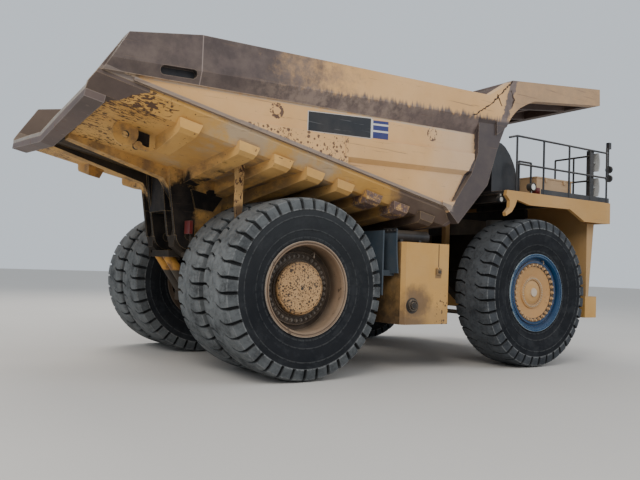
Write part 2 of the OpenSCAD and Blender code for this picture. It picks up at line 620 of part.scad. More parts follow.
// Handrails: posts on the right and left decks, top and middle rails
post_x = [ahead(-640), ahead(170), ahead(990), ahead(1700), nose_x - 110];
module rail_run(points, d) { for (i = [0 : len(points) - 2]) bar(points[i], points[i + 1], d); }
module handrails() {
    hoop_y = deck_half - 330;
    y = deck_half - 30;
    top = deck_z + rail_h;
    mid = deck_z + rail_h / 2;
    cross_top = top - 130;
    color("dimgray") placed() {
        both_sides() {
            for (x = post_x) translate([x, y, deck_z + seat]) cylinder(d = tube_d, h = rail_h - seat, $fn = 20);
            rail_run([[ahead(-870), y, top - 60], [post_x[0], y, top], [post_x[4], y, top]], tube_d);
            rail_run([[post_x[0], y, mid], [post_x[4], y, mid]], tube_d);
            // Rail across the deck behind the stairs' landing
            for (yy = [2260, 2750]) translate([post_x[3], yy, deck_z + seat]) cylinder(d = tube_d, h = cross_top - deck_z - seat, $fn = 20);
            for (z = [cross_top, deck_z + 440]) rail_run([[post_x[3], y, z], [post_x[3], 2260, z]], tube_d);
            // Toe board along the edge
            block([ahead(100), y - 5, deck_z + seat], [nose_x - 15, y + 5, deck_z + 110]);
        }
        // Hoop beside the work lamp
        for (x = [ahead(-230), ahead(140)]) translate([x, -hoop_y, deck_z + seat]) cylinder(d = tube_d, h = 680 - seat, $fn = 20);
        rail_run([[ahead(-230), -hoop_y, deck_z + 680], [ahead(140), -hoop_y, deck_z + 680]], tube_d);
    }
}

// Ladders in front of the side panels
module ladders() {
    color("dimgray") placed() both_sides() {
        for (y = [1450, 1950]) block([nose_x - 85, y, bumper_top + seat], [nose_x - 40, y + 50, 3040 - seat]);
        for (z = [1600 : 300 : 2900]) block([nose_x - 80, 1500, z], [nose_x - 45, 1950, z + 40]);
    }
}

// Cab on the left deck
cab_x0 = ahead(-270);
cab_y0 = 580;
cab_x1 = cab_x0 + cab_l;
cab_y1 = cab_y0 + cab_w;
cab_z0 = deck_z + 20;
cab_z1 = cab_z0 + cab_h;
door_x0 = cab_x0 + 480;
door_gap = 8;
hinge_at = [door_x0 + door_w, cab_y1 + 25];
hinge_pin_r = 12;
sill = cab_z0 + 560;
head = cab_z1 - 120;
hinge_z = [cab_z0 + 300, cab_z1 - 350];
module window_y(x0, x1, y) block([x0, y - cab_t * 2, sill], [x1, y + cab_t * 2, head]);
module cab_shell() {
    // Hinge pins with their lugs
    color("burlywood") placed() for (z = hinge_z) {
        translate([hinge_at[0], hinge_at[1], z - 55]) cylinder(r = hinge_pin_r, h = 110);
        for (dz = [-55, 31]) {
            block([hinge_at[0] + 4, cab_y1 - 1, z + dz], [hinge_at[0] + 60, hinge_at[1] + 15, z + dz + 24]);
            block([hinge_at[0] - 15, hinge_at[1] - 15, z + dz], [hinge_at[0] + 5, hinge_at[1] + 15, z + dz + 24]);
        }
    }
    color("burlywood") placed() difference() {
        block([cab_x0, cab_y0, deck_z], [cab_x1, cab_y1, cab_z1]);
        block([cab_x0 + cab_t, cab_y0 + cab_t, cab_z0 + cab_t], [cab_x1 - cab_t, cab_y1 - cab_t, cab_z1 + 100]);
        // Windscreen, rear and side windows
        block([cab_x1 - 200, cab_y0 + 110, sill], [cab_x1 + 100, cab_y1 - 110, head]);
        block([cab_x0 - 100, cab_y0 + 200, sill], [cab_x0 + 200, cab_y1 - 200, head]);
        window_y(cab_x0 + 150, cab_x1 - 150, cab_y0);
        window_y(door_x0 + door_w + 110, cab_x1 - 110, cab_y1);
        window_y(cab_x0 + 110, door_x0 - 90, cab_y1);
        // Door opening
        block([door_x0, cab_y1 - 200, cab_z0 + cab_t], [door_x0 + door_w, cab_y1 + 100, cab_z1 - 60]);
    }
}
module cab_roof() {
    color("burlywood") placed()
        side_prism([[cab_x0 - 30, cab_z1], [cab_x0 - 30, cab_z1 + 60], [cab_x0 + 60, cab_z1 + 110],
            [cab_x1 + 40, cab_z1 + 110], [cab_x1 + 120, cab_z1 + 50], [cab_x1 + 120, cab_z1]], cab_y0 - 40, cab_y1 + 40);
}
module cab_glass() {
    t = 10;
    color("lightblue") placed() {
        block([cab_x1 - 40, cab_y0 + 110, sill], [cab_x1 - 40 + t, cab_y1 - 110, head]);
        block([cab_x0 + 30, cab_y0 + 200, sill], [cab_x0 + 30 + t, cab_y1 - 200, head]);
        block([cab_x0 + 150, cab_y0 + 25, sill], [cab_x1 - 150, cab_y0 + 25 + t, head]);
        block([door_x0 + door_w + 110, cab_y1 - 35, sill], [cab_x1 - 110, cab_y1 - 35 + t, head]);
        block([cab_x0 + 110, cab_y1 - 35, sill], [door_x0 - 90, cab_y1 - 35 + t, head]);
    }
}
module cab_interior() {
    floor_z = cab_z0 + cab_t;
    color("dimgray") placed() {
        block([cab_x0 + 450, cab_y0 + 580, floor_z], [cab_x0 + 950, cab_y0 + 1080, floor_z + 450]);
        block([cab_x0 + 350, cab_y0 + 590, floor_z + 450], [cab_x0 + 480, cab_y0 + 1070, floor_z + 1100]);
        block([cab_x1 - 420, cab_y0 + cab_t, floor_z], [cab_x1 - cab_t, cab_y1 - cab_t, floor_z + 620]);
    }
}
module cab_door() {
    color("burlywood") placed() {
        difference() {
            block([door_x0 + door_gap, cab_y1 - cab_t, cab_z0 + cab_t + door_gap],
                [hinge_at[0] - door_gap, cab_y1, cab_z1 - 60 - door_gap]);
            block([door_x0 + 90, cab_y1 - 200, sill], [door_x0 + door_w - 90, cab_y1 + 100, head]);
        }
        // Hinge barrels with their straps, and the handle
        for (z = hinge_z) difference() {
            union() {
                block([hinge_at[0] - 80, cab_y1, z - 30], [hinge_at[0], hinge_at[1] + 8, z + 30]);
                translate([hinge_at[0], hinge_at[1], z - 30]) cylinder(r = 22, h = 60);
            }
            translate([hinge_at[0], hinge_at[1], z - 100]) cylinder(r = hinge_pin_r + pin_fit, h = 200);
        }
        block([door_x0 + 40, cab_y1, sill - 180], [door_x0 + 80, cab_y1 + 35, sill - 40]);
    }
}
module door_glass() {
    color("lightblue") placed() block([door_x0 + 90, cab_y1 - 35, sill], [door_x0 + door_w - 90, cab_y1 - 25, head]);
}

module battery_box() {
    x0 = ahead(350);
    y1 = -deck_half + 350;
    color("burlywood") placed() {
        block([x0, y1, deck_z + seat], [x0 + 1150, y1 + 600, deck_z + 400]);
        // Lid with its hasps and a grab handle
        block([x0 - 15, y1 - 15, deck_z + 400], [x0 + 1165, y1 + 615, deck_z + 430]);
        for (dx = [250, 850]) block([x0 + dx, y1 - 30, deck_z + 330], [x0 + dx + 60, y1 + 1, deck_z + 415]);
    }
}
module intake_housing() {
    color("darkslategray") placed()
        side_prism([[ahead(-790), deck_z + seat], [ahead(-790), 4480], [ahead(-740), 4535], [ahead(-650), 4560], [ahead(-520), 4545],
            [ahead(-400), 4480], [ahead(-260), 4340], [ahead(-150), 4180], [ahead(-90), 4050], [ahead(-70), 3950], [ahead(-70), deck_z + seat]],
            -deck_half + 550, -deck_half + 1450);
}
cluster_x = nose_x - 15;
// Plate bent about a sideways axis
module mirror_head(x, z) {
    intersection() {
        difference() {
            axle_bar(x - 480, z, 500, deck_half - 240, deck_half);
            axle_bar(x - 480, z, 470, deck_half - 250, deck_half + 10);
        }
        block([x - 100, deck_half - 250, z - 200], [x + 40, deck_half + 10, z + 200]);
    }
}
module mirrors() {
    color("dimgray") placed() both_sides() {
        // Wide post with two curved mirrors
        block([post_x[3] + 35, deck_half - 150, deck_z + seat], [post_x[3] + 175, deck_half - 60, deck_z + rail_h]);
        for (z = [deck_z + 322, deck_z + 870]) {
            mirror_head(post_x[3] + 290, z);
            block([post_x[3] + 170, deck_half - 120, z - 20], [post_x[3] + 290, deck_half - 90, z + 20]);
        }
        // Cluster on the rail's front end
        translate([post_x[4], deck_half - 30, deck_z + rail_h + tube_d / 2 + seat]) cylinder(r = 22, h = 90);
        bar([post_x[4], deck_half - 30, deck_z + rail_h + 100], [cluster_x, deck_half - 50, deck_z + rail_h + 100], 30);
        bar([cluster_x, deck_half - 50, deck_z + rail_h + 115], [cluster_x, deck_half - 50, deck_z + 480], 30);
        block([cluster_x - 40, deck_half - 90, deck_z + rail_h + 105], [cluster_x + 40, deck_half - 10, deck_z + rail_h + 250]);
        for (dz = [760, 560]) translate([cluster_x, deck_half - 50, deck_z + dz]) rotate([0, 90, 0]) cylinder(r = 82, h = 45);
    }
}

// Steering knuckles with spindle and arm
spindle_r = 250;
module knuckle() {
    translate([wheelbase, kingpin_y, 0]) {
        translate([0, 0, 1200]) cylinder(r = strut_rod_r, h = 1150);
        translate([0, 0, 1150]) cylinder(r = 220, h = 700);
        // Steering arm
        translate([-arm_len, -90, tie_z + 75]) cube([arm_len, 180, 90]);
        translate([-arm_len, 0, tie_z + 75]) cylinder(r = 90, h = 90);
        translate([0, 0, tie_z + 75]) cylinder(r = 160, h = 200);
        translate([-arm_len, 0, tie_z - 60]) cylinder(r = 35, h = 200);
    }
    axle_bar(wheelbase, hub_z, spindle_r, kingpin_y, front_y - 60);
}
module knuckle_left() { color("gray") placed() knuckle(); }
module knuckle_right() { color("gray") placed() mirror([0, 1, 0]) knuckle(); }
module tie_rod() {
    x = wheelbase - arm_len;
    color("gray") placed() difference() {
        union() {
            axle_bar(x, tie_z, 45, -kingpin_y, kingpin_y);
            both_sides() translate([x, kingpin_y, tie_z - 65]) cylinder(r = 90, h = 130);
        }
        both_sides() translate([x, kingpin_y, tie_z - 100]) cylinder(r = 35 + pin_fit, h = 200);
    }
}

// Groove of a tyre's outer shoulder: a bent part across the tread and a wider part down the side
module shoulder_groove(crown, half) {
    bend = 48;
    w = groove_w / 2;
    translate([crown - groove_depth, 0, 0]) rotate([0, 90, 0]) linear_extrude(groove_depth + 20)
        polygon([[-110, bend - 0.6 * w], [-110, bend + 0.6 * w], [-215, w], [-half + 40, w], [-half + 40, -w], [-215, -w]]);
    rotate([90, 0, 0]) linear_extrude(2.8 * w, center = true)
        polygon([[crown + 20, half - 62], [crown - groove_depth - 4, half - 62], [crown - 196, half - 50], [crown - 200, half + 20],
            [crown + 20, half + 20]]);
}
// Tyre with its lugs, the step under them and the rings of the side; axis on Z
module tyre() {
    half = tyre_w / 2;
    crown = tyre_od / 2;
    profile_half = [[crown, 0], [crown - 10, half - 170], [crown - 45, half - 46], [crown - 60, half - 39],
        [crown - 204, half - 6], [crown - 213, half - 6], [crown - 224, half - 19], [crown - 305, half - 12],
        [crown - 312, half - 7], [crown - 324, half - 7], [crown - 332, half - 14], [crown - 400, half - 20], [crown - 470, half - 34],
        [bead_r + 130, half - 74], [bead_r, half - 112]];
    mirrored = [for (i = [len(profile_half) - 1 : -1 : 1]) [profile_half[i][0], -profile_half[i][1]]];
    difference() {
        rotate_extrude() polygon(concat(profile_half, mirrored));
        for (i = [0 : groove_count - 1]) {
            rotate([0, 0, i * 360 / groove_count]) mirror([0, 0, 1]) shoulder_groove(crown, half);
            rotate([0, 0, (i + 0.5) * 360 / groove_count]) shoulder_groove(crown, half);
        }
    }
}
// Wheel pieces are turned about an axle at [x, y]; out is +1 for the left side
module at_wheel(x, y, out) translate([x, y, hub_z]) rotate([-90 * out, 0, 0]) children();

bead_r = rim_od / 2 - 20;
rim_seat_r = bead_r - seat;            // face under the tyre's beads
rim_in_r = rim_seat_r - 60;
hub_r = rim_in_r - seat;               // hubs inside the rims
// Rim barrel with flanges, drawn about Z with the outer face up
module rim() {
    half = tyre_w / 2 - 103;
    rotate_extrude() polygon([[rim_in_r, -half - 30], [rim_seat_r + 21, -half - 30], [rim_seat_r + 21, -half], [rim_seat_r, -half],
        [rim_seat_r, half], [rim_seat_r + 21, half], [rim_seat_r + 21, half + 30], [rim_seat_r - 4, half + 30], [rim_seat_r - 10, half + 16],
        [rim_seat_r - 22, half + 16], [rim_seat_r - 26, half + 26], [rim_seat_r - 42, half + 24], [rim_in_r, half - 20]]);
}
module front_hub() {
    // Disc nearly level with the outer flange, with a raised centre
    half = tyre_w / 2 - 112;
    rotate_extrude() polygon([[0, -59], [spindle_r + pin_fit, -59], [spindle_r + pin_fit, -220], [330, -220], [330, half - 250],
        [hub_r, half - 150], [hub_r, half - 62], [645, half - 62], [635, half - 26], [585, half - 26], [577, half - 46], [545, half - 50],
        [330, half - 98], [322, half - 76], [250, half - 76], [242, half - 94], [180, half - 66], [92, half - 52], [84, half - 28], [0, half - 28]]);
}
module tyre_front_left() { color("dimgray") placed() at_wheel(wheelbase, front_y, 1) tyre(); }
module tyre_front_right() { color("dimgray") placed() at_wheel(wheelbase, -front_y, -1) tyre(); }
module rim_front_left() { color("steelblue") placed() at_wheel(wheelbase, front_y, 1) rim(); }
module rim_front_right() { color("steelblue") placed() at_wheel(wheelbase, -front_y, -1) rim(); }
module hub_front_left() { color("burlywood") placed() at_wheel(wheelbase, front_y, 1) front_hub(); }
module hub_front_right() { color("burlywood") placed() at_wheel(wheelbase, -front_y, -1) front_hub(); }

rear_outer_y = rear_inner_y + dual_pitch;
module rear_hub() {
    // Final drive inside the dish of the outer rim
    half = tyre_w / 2 - 112;
    rotate_extrude() polygon([[0, -200], [journal_r + pin_fit, -200], [journal_r + pin_fit, -380], [395, -380], [395, -200],
        [hub_r - 40, -140], [hub_r - 40, -dual_pitch - 200], [hub_r, -dual_pitch - 200], [hub_r, 10], [612, 10], [604, 50], [472, 56],
        [464, 84], [444, 90], [438, 150], [425, 178], [385, 198], [62, 214], [56, 228], [0, 228]]);
}
module tyres_rear_left() { color("dimgray") placed() for (y = [rear_inner_y, rear_outer_y]) at_wheel(0, y, 1) tyre(); }
module tyres_rear_right() { color("dimgray") placed() for (y = [rear_inner_y, rear_outer_y]) at_wheel(0, -y, -1) tyre(); }
module rims_rear_left() { color("tan") placed() for (y = [rear_inner_y, rear_outer_y]) at_wheel(0, y, 1) rim(); }
module rims_rear_right() { color("tan") placed() for (y = [rear_inner_y, rear_outer_y]) at_wheel(0, -y, -1) rim(); }
module hub_rear_left() { color("tan") placed() at_wheel(0, rear_outer_y, 1) rear_hub(); }
module hub_rear_right() { color("tan") placed() at_wheel(0, -rear_outer_y, -1) rear_hub(); }

// Hoist cylinders: barrel, middle stage and rod, drawn along the line from lower to upper pin
hoist_len = norm([hoist_top_x - hoist_x, hoist_top_z - hoist_z]);
hoist_lean = atan2(hoist_top_x - hoist_x, hoist_top_z - hoist_z);
module on_hoist() {
    placed() both_sides() translate([hoist_x, hoist_y, hoist_z]) rotate([0, hoist_lean, 0]) children();
}
module hoist_barrels() {
    color("goldenrod") on_hoist() difference() {
        union() {
            translate([0, 0, 110]) cylinder(r = barrel_r, h = hoist_len - 330);
            rotate([90, 0, 0]) cylinder(r = 130, h = 140, center = true);
        }
        translate([0, 0, 180]) cylinder(r = barrel_r - 25, h = hoist_len);
        rotate([90, 0, 0]) cylinder(r = hoist_pin_r + pin_fit, h = 400, center = true);
    }
}
module hoist_stages() {
    color("silver") on_hoist() difference() {
        translate([0, 0, 190]) cylinder(r = barrel_r - 25 - pin_fit, h = hoist_len - 390);
        translate([0, 0, 240]) cylinder(r = barrel_r - 50, h = hoist_len);
    }
}
module hoist_rods() {
    color("silver") on_hoist() {
        translate([0, 0, 250]) cylinder(r = barrel_r - 50 - pin_fit, h = hoist_len - 320);
        translate([0, 0, hoist_len]) rotate([90, 0, 0]) cylinder(r = 100, h = 130, center = true);
        translate([0, 0, hoist_len]) rotate([90, 0, 0]) cylinder(r = hoist_pin_r, h = 180, center = true);
    }
}

frame();
rear_axle();
suspension_struts();
engine();
drive_shaft();
radiator();
bumper();
lamps();
fuel_tank();
hydraulic_tank();
air_receiver();
mud_flaps();
deck();
front_panels();
handrails();
ladders();
cab_shell();
cab_roof();
cab_glass();
cab_interior();
battery_box();
intake_housing();
mirrors();
cab_door();
door_glass();
knuckle_left();
knuckle_right();
tie_rod();
tyre_front_left();
rim_front_left();
hub_front_left();
tyre_front_right();
rim_front_right();
hub_front_right();
tyres_rear_left();
rims_rear_left();
hub_rear_left();
tyres_rear_right();
rims_rear_right();
hub_rear_right();
bed_floor();
bed_side_left();
bed_side_right();
bed_front();
bed_canopy();
bed_ribs();
bed_beams();
bed_tail();
rock_ejectors();
hoist_barrels();
hoist_stages();
hoist_rods();
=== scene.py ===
import math
import random

import bmesh
import bpy
from mathutils import Matrix, Vector


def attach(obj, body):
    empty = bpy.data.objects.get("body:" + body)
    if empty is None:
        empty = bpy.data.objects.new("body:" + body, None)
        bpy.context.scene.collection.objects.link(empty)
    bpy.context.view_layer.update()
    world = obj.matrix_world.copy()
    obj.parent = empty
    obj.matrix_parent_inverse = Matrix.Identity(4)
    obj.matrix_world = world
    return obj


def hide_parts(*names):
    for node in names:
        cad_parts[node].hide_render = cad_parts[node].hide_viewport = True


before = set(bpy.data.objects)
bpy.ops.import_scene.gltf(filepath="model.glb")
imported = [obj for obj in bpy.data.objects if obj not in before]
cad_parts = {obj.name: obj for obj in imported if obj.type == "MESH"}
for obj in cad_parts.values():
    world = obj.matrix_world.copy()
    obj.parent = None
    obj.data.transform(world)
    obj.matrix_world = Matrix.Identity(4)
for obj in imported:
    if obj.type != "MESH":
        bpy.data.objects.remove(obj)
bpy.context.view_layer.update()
print("frame loaded")

# Places are measured from the rear axle, as in the part's source, and moved by ax() into the shared frame
axleShift = -2.07


def ax(x):
    return x + axleShift


sides = ((1, "left"), (-1, "right"))
wheelPlaces = {"frontX": ax(5.35), "rearX": ax(0.0), "z": 1.5, "frontY": 2.8, "innerY": 1.546, "outerY": 2.611}
# Edges on the bed's side: the foot strip's height at x = 0 of the frame with its slope, a point of the post's rear
# edge with its slope
bedEdges = {"foot": 3.235, "footSlope": 0.2199, "postX": 3.07, "postZ": 3.11, "postSlope": 0.573}


# Shader wiring
class Wires:
    def __init__(self, tree):
        self.tree = tree

    def node(self, kind, values=None, **settings):
        made = self.tree.nodes.new(kind)
        for key, value in settings.items():
            setattr(made, key, value)
        for key, value in (values or {}).items():
            if isinstance(value, bpy.types.NodeSocket):
                self.tree.links.new(value, made.inputs[key])
            else:
                made.inputs[key].default_value = value
        return made

    def math(self, operation, a, b=0.0, clamp=False):
        return self.node("ShaderNodeMath", {0: a, 1: b}, operation=operation, use_clamp=clamp).outputs[0]

    def add(self, a, b):
        return self.math("ADD", a, b)

    def sub(self, a, b):
        return self.math("SUBTRACT", a, b)

    def mul(self, *values):
        result = values[0]
        for value in values[1:]:
            result = self.math("MULTIPLY", result, value)
        return result

    def top(self, *values):
        result = values[0]
        for value in values[1:]:
            result = self.math("MAXIMUM", result, value)
        return result

    def flip(self, value):
        return self.math("SUBTRACT", 1.0, value)

    def size(self, value):  # without its sign
        return self.math("ABSOLUTE", value)

    def sway(self, noise, reach):  # a noise that swings round zero
        return self.mul(self.sub(noise, 0.5), reach)

    def ramp(self, value, low, high):  # smooth step from 0 at low to 1 at high
        values = {"Value": value, "From Min": low, "From Max": high}
        return self.node("ShaderNodeMapRange", values, interpolation_type="SMOOTHSTEP").outputs[0]

    def fall(self, value, low, high):  # smooth step from 1 at low to 0 at high
        return self.flip(self.ramp(value, low, high))

    def band(self, value, low, high, soft):  # 1 between low and high
        return self.mul(self.ramp(value, low - soft, low + soft), self.fall(value, high - soft, high + soft))

    def mix(self, factor, a, b, blend="MIX"):
        made = self.node("ShaderNodeMix", {0: factor}, data_type="RGBA", blend_type=blend)
        for index, value in ((6, a), (7, b)):
            if isinstance(value, bpy.types.NodeSocket):
                self.tree.links.new(value, made.inputs[index])
            else:
                made.inputs[index].default_value = (*value, 1.0) if len(value) == 3 else value
        return made.outputs[2]

    def stretched(self, vector, scale):
        return self.node("ShaderNodeMapping", {"Vector": vector, "Scale": scale}).outputs[0]

    def noise(self, vector, scale, detail=4.0, roughness=0.55, distortion=0.0):
        values = {"Vector": vector, "Scale": scale, "Detail": detail, "Roughness": roughness,
                  "Distortion": distortion}
        return self.node("ShaderNodeTexNoise", values).outputs[0]

    def place(self):
        return self.node("ShaderNodeTexCoord").outputs["Object"]

    def facing(self):
        return self.node("ShaderNodeSeparateXYZ", {0: self.node("ShaderNodeTexCoord").outputs["Normal"]}).outputs

    def axes(self, vector):
        parts = self.node("ShaderNodeSeparateXYZ", {0: vector}).outputs
        return parts[0], parts[1], parts[2]

    def away(self, a, b, a0, b0):  # distance from a point in a plane
        square = self.add(self.math("POWER", self.sub(a, a0), 2.0), self.math("POWER", self.sub(b, b0), 2.0))
        return self.math("SQRT", square)


def newGroup(name, inputs, outputs):
    tree = bpy.data.node_groups.new(name, "ShaderNodeTree")
    kinds = {"value": "NodeSocketFloat", "color": "NodeSocketColor", "vector": "NodeSocketVector"}
    for label, kind, value in inputs:
        made = tree.interface.new_socket(name=label, in_out="INPUT", socket_type=kinds[kind])
        made.default_value = (*value, 1.0) if kind == "color" else value
    for label, kind in outputs:
        tree.interface.new_socket(name=label, in_out="OUTPUT", socket_type=kinds[kind])
    wires = Wires(tree)
    return wires, wires.node("NodeGroupInput").outputs, wires.node("NodeGroupOutput").inputs


anyPaint = (0.6, 0.45, 0.3)  # the groups' own paint color, replaced wherever they are used


# Rust: patches and streaks that run down, with a mask that thickens with Amount
def makeRustGroup():
    wires, given, out = newGroup(
        "rust", [("Color", "color", anyPaint), ("Rust Color", "color", (0.16, 0.07, 0.045)),
                 ("Amount", "value", 0.3), ("Scale", "value", 1.0), ("Streaks", "value", 0.4)],
        [("Color", "color"), ("Mask", "value"), ("Height", "value")])
    scaled = wires.node("ShaderNodeVectorMath", {0: wires.place(), 3: given["Scale"]}, operation="SCALE").outputs[0]
    patches = wires.noise(scaled, 1.3, 9.0, 0.68, 0.3)
    streaks = wires.noise(wires.stretched(scaled, (7.0, 7.0, 0.55)), 1.0, 5.0, 0.6)
    mixed = wires.node("ShaderNodeMix", {0: given["Streaks"], 2: patches, 3: streaks}).outputs[0]
    edge = wires.sub(0.78, wires.mul(given["Amount"], 0.5))
    mask = wires.ramp(mixed, edge, wires.add(edge, 0.1))
    tone = wires.mix(wires.noise(scaled, 14.0, 5.0, 0.6), given["Rust Color"], (0.30, 0.13, 0.055))
    wires.tree.links.new(wires.mix(wires.mul(mask, 0.9), given["Color"], tone), out["Color"])
    wires.tree.links.new(mask, out["Mask"])
    wires.tree.links.new(wires.mul(mask, wires.noise(scaled, 55.0, 3.0, 0.6)), out["Height"])
    return wires.tree


# Dust: lies on faces that look up, and in a thin film everywhere
def makeDustGroup():
    wires, given, out = newGroup(
        "dust", [("Color", "color", anyPaint), ("Dust Color", "color", (0.50, 0.42, 0.33)),
                 ("Amount", "value", 0.4), ("Film", "value", 0.2)],
        [("Color", "color"), ("Mask", "value")])
    normal = wires.node("ShaderNodeNewGeometry").outputs["Normal"]
    up = wires.node("ShaderNodeSeparateXYZ", {0: normal}).outputs[2]
    clouds = wires.noise(wires.place(), 2.4, 7.0, 0.62)
    lying = wires.mul(wires.ramp(up, 0.15, 0.9), given["Amount"])
    film = wires.mul(wires.ramp(clouds, 0.35, 0.7), given["Film"])
    cover = wires.math("ADD", wires.mul(lying, wires.add(clouds, 0.5)), film, clamp=True)
    wires.tree.links.new(wires.mix(cover, given["Color"], given["Dust Color"]), out["Color"])
    wires.tree.links.new(cover, out["Mask"])
    return wires.tree


# Scratches: long thin marks and short chips in the paint
def makeScratchGroup():
    wires, given, out = newGroup(
        "scratches", [("Color", "color", anyPaint), ("Bare Color", "color", (0.5, 0.45, 0.4)),
                      ("Amount", "value", 0.4), ("Chips", "value", 0.3)],
        [("Color", "color"), ("Mask", "value"), ("Height", "value")])
    place = wires.place()
    lines = wires.noise(wires.stretched(place, (0.9, 9.0, 26.0)), 1.0, 3.0, 0.7, 0.4)
    lineMask = wires.mul(wires.ramp(lines, 0.63, 0.69), given["Amount"])
    chips = wires.noise(wires.stretched(place, (9.0, 9.0, 7.0)), 1.0, 9.0, 0.78)
    chipEdge = wires.sub(0.80, wires.mul(given["Chips"], 0.25))
    chipMask = wires.ramp(chips, chipEdge, wires.add(chipEdge, 0.025))
    both = wires.top(lineMask, chipMask)
    wires.tree.links.new(wires.mix(both, given["Color"], given["Bare Color"]), out["Color"])
    wires.tree.links.new(both, out["Mask"])
    wires.tree.links.new(wires.mul(both, -1.0), out["Height"])
    return wires.tree


# Flakes: lost paint in ragged spots; Stretch sets their size along each axis
def makeFlakeGroup():
    wires, given, out = newGroup(
        "flakes", [("Color", "color", anyPaint), ("Flake Color", "color", (0.13, 0.075, 0.05)),
                   ("Amount", "value", 0.5), ("Stretch", "vector", (8.0, 8.0, 8.0))],
        [("Color", "color")])
    place = wires.node("ShaderNodeVectorMath", {0: wires.place(), 1: given["Stretch"]}, operation="MULTIPLY").outputs[0]
    spots = wires.noise(place, 1.0, 6.0, 0.66, 0.7)
    broad = wires.mul(wires.sub(wires.noise(place, 0.16, 3.0, 0.5), 0.5), 0.4)
    edge = wires.sub(0.79, wires.mul(given["Amount"], 0.26))
    mask = wires.ramp(wires.add(spots, broad), edge, wires.add(edge, 0.025))
    mask = wires.mul(mask, wires.math("GREATER_THAN", given["Amount"], 0.02))
    wires.tree.links.new(wires.mix(mask, given["Color"], given["Flake Color"]), out["Color"])
    return wires.tree


# Specks: small dark dots of differing sizes
def makeSpeckGroup():
    wires, given, out = newGroup(
        "specks", [("Color", "color", anyPaint), ("Speck Color", "color", (0.03, 0.018, 0.012)),
                   ("Amount", "value", 0.5), ("Scale", "value", 26.0)],
        [("Color", "color")])
    place = wires.place()
    wander = wires.node("ShaderNodeTexNoise", {"Vector": place, "Scale": 30.0}).outputs[1]
    bent = wires.node("ShaderNodeVectorMath", {0: place, 1: wander}, operation="ADD").outputs[0]
    bent = wires.node("ShaderNodeMix", {0: 0.03, 4: place, 5: bent}, data_type="VECTOR").outputs[1]
    cells = wires.node("ShaderNodeTexVoronoi", {"Vector": bent, "Scale": given["Scale"]}).outputs
    chance = wires.node("ShaderNodeSeparateXYZ", {0: cells["Color"]}).outputs[0]
    size = wires.mul(wires.math("POWER", chance, 1.6), given["Amount"], 0.62)
    mask = wires.fall(cells["Distance"], wires.mul(size, 0.8), wires.add(size, 0.001))
    wires.tree.links.new(wires.mix(wires.mul(mask, 0.92), given["Color"], given["Speck Color"]), out["Color"])
    return wires.tree


# Edge wear: where a rounded normal leaves the flat one
def makeEdgeGroup():
    wires, given, out = newGroup(
        "edgeWear", [("Color", "color", anyPaint), ("Edge Color", "color", (0.6, 0.5, 0.4)),
                     ("Amount", "value", 0.5), ("Width", "value", 0.02)],
        [("Color", "color")])
    rounded = wires.node("ShaderNodeBevel", {"Radius": given["Width"]}, samples=4).outputs[0]
    normal = wires.node("ShaderNodeNewGeometry").outputs["Normal"]
    alike = wires.node("ShaderNodeVectorMath", {0: rounded, 1: normal}, operation="DOT_PRODUCT").outputs["Value"]
    ragged = wires.mul(wires.flip(alike), wires.noise(wires.place(), 9.0, 6.0, 0.7), 2.2)
    mask = wires.mul(wires.ramp(ragged, 0.03, 0.16), given["Amount"])
    wires.tree.links.new(wires.mix(mask, given["Color"], given["Edge Color"]), out["Color"])
    return wires.tree


groups = {"rust": makeRustGroup(), "dust": makeDustGroup(), "scratches": makeScratchGroup(),
          "flakes": makeFlakeGroup(), "specks": makeSpeckGroup(), "edgeWear": makeEdgeGroup()}


def useGroup(wires, name, values):
    made = wires.node("ShaderNodeGroup", node_tree=groups[name])
    for key, value in values.items():
        if isinstance(value, bpy.types.NodeSocket):
            wires.tree.links.new(value, made.inputs[key])
        elif isinstance(value, tuple):
            made.inputs[key].default_value = value if made.inputs[key].type == "VECTOR" else (*value, 1.0)
        else:
            made.inputs[key].default_value = value
    return made.outputs


def flakes(wires, color, tone, amount, stretch):
    values = {"Color": color, "Flake Color": tone, "Amount": amount, "Stretch": stretch}
    return useGroup(wires, "flakes", values)["Color"]


def specks(wires, color, tone, amount, scale):
    values = {"Color": color, "Speck Color": tone, "Amount": amount, "Scale": scale}
    return useGroup(wires, "specks", values)["Color"]


def newMaterial(name):
    material = bpy.data.materials.new(name)
    material.use_nodes = True
    material.node_tree.nodes.clear()
    wires = Wires(material.node_tree)
    shader = wires.node("ShaderNodeBsdfPrincipled")
    end = wires.node("ShaderNodeOutputMaterial")
    wires.tree.links.new(shader.outputs[0], end.inputs[0])
    return material, wires, shader.inputs


# What every painted or rusty finish starts from; the looks below change some of it
steelLook = {"rust": 0.2, "rustColor": (0.11, 0.05, 0.035), "rustScale": 1.0, "streaks": 0.4, "scratches": 0.3,
             "chips": 0.2, "bare": (0.14, 0.09, 0.065), "edges": 0.5, "edgeColor": (0.45, 0.33, 0.22),
             "edgeWidth": 0.018, "dust": 0.4, "dustColor": (0.36, 0.28, 0.20), "film": 0.1, "tintScale": 0.9,
             "rough": 0.5, "metallic": 0.0, "shine": 0.3, "dents": 0.35, "bump": 0.4, "bumpDepth": 0.02}


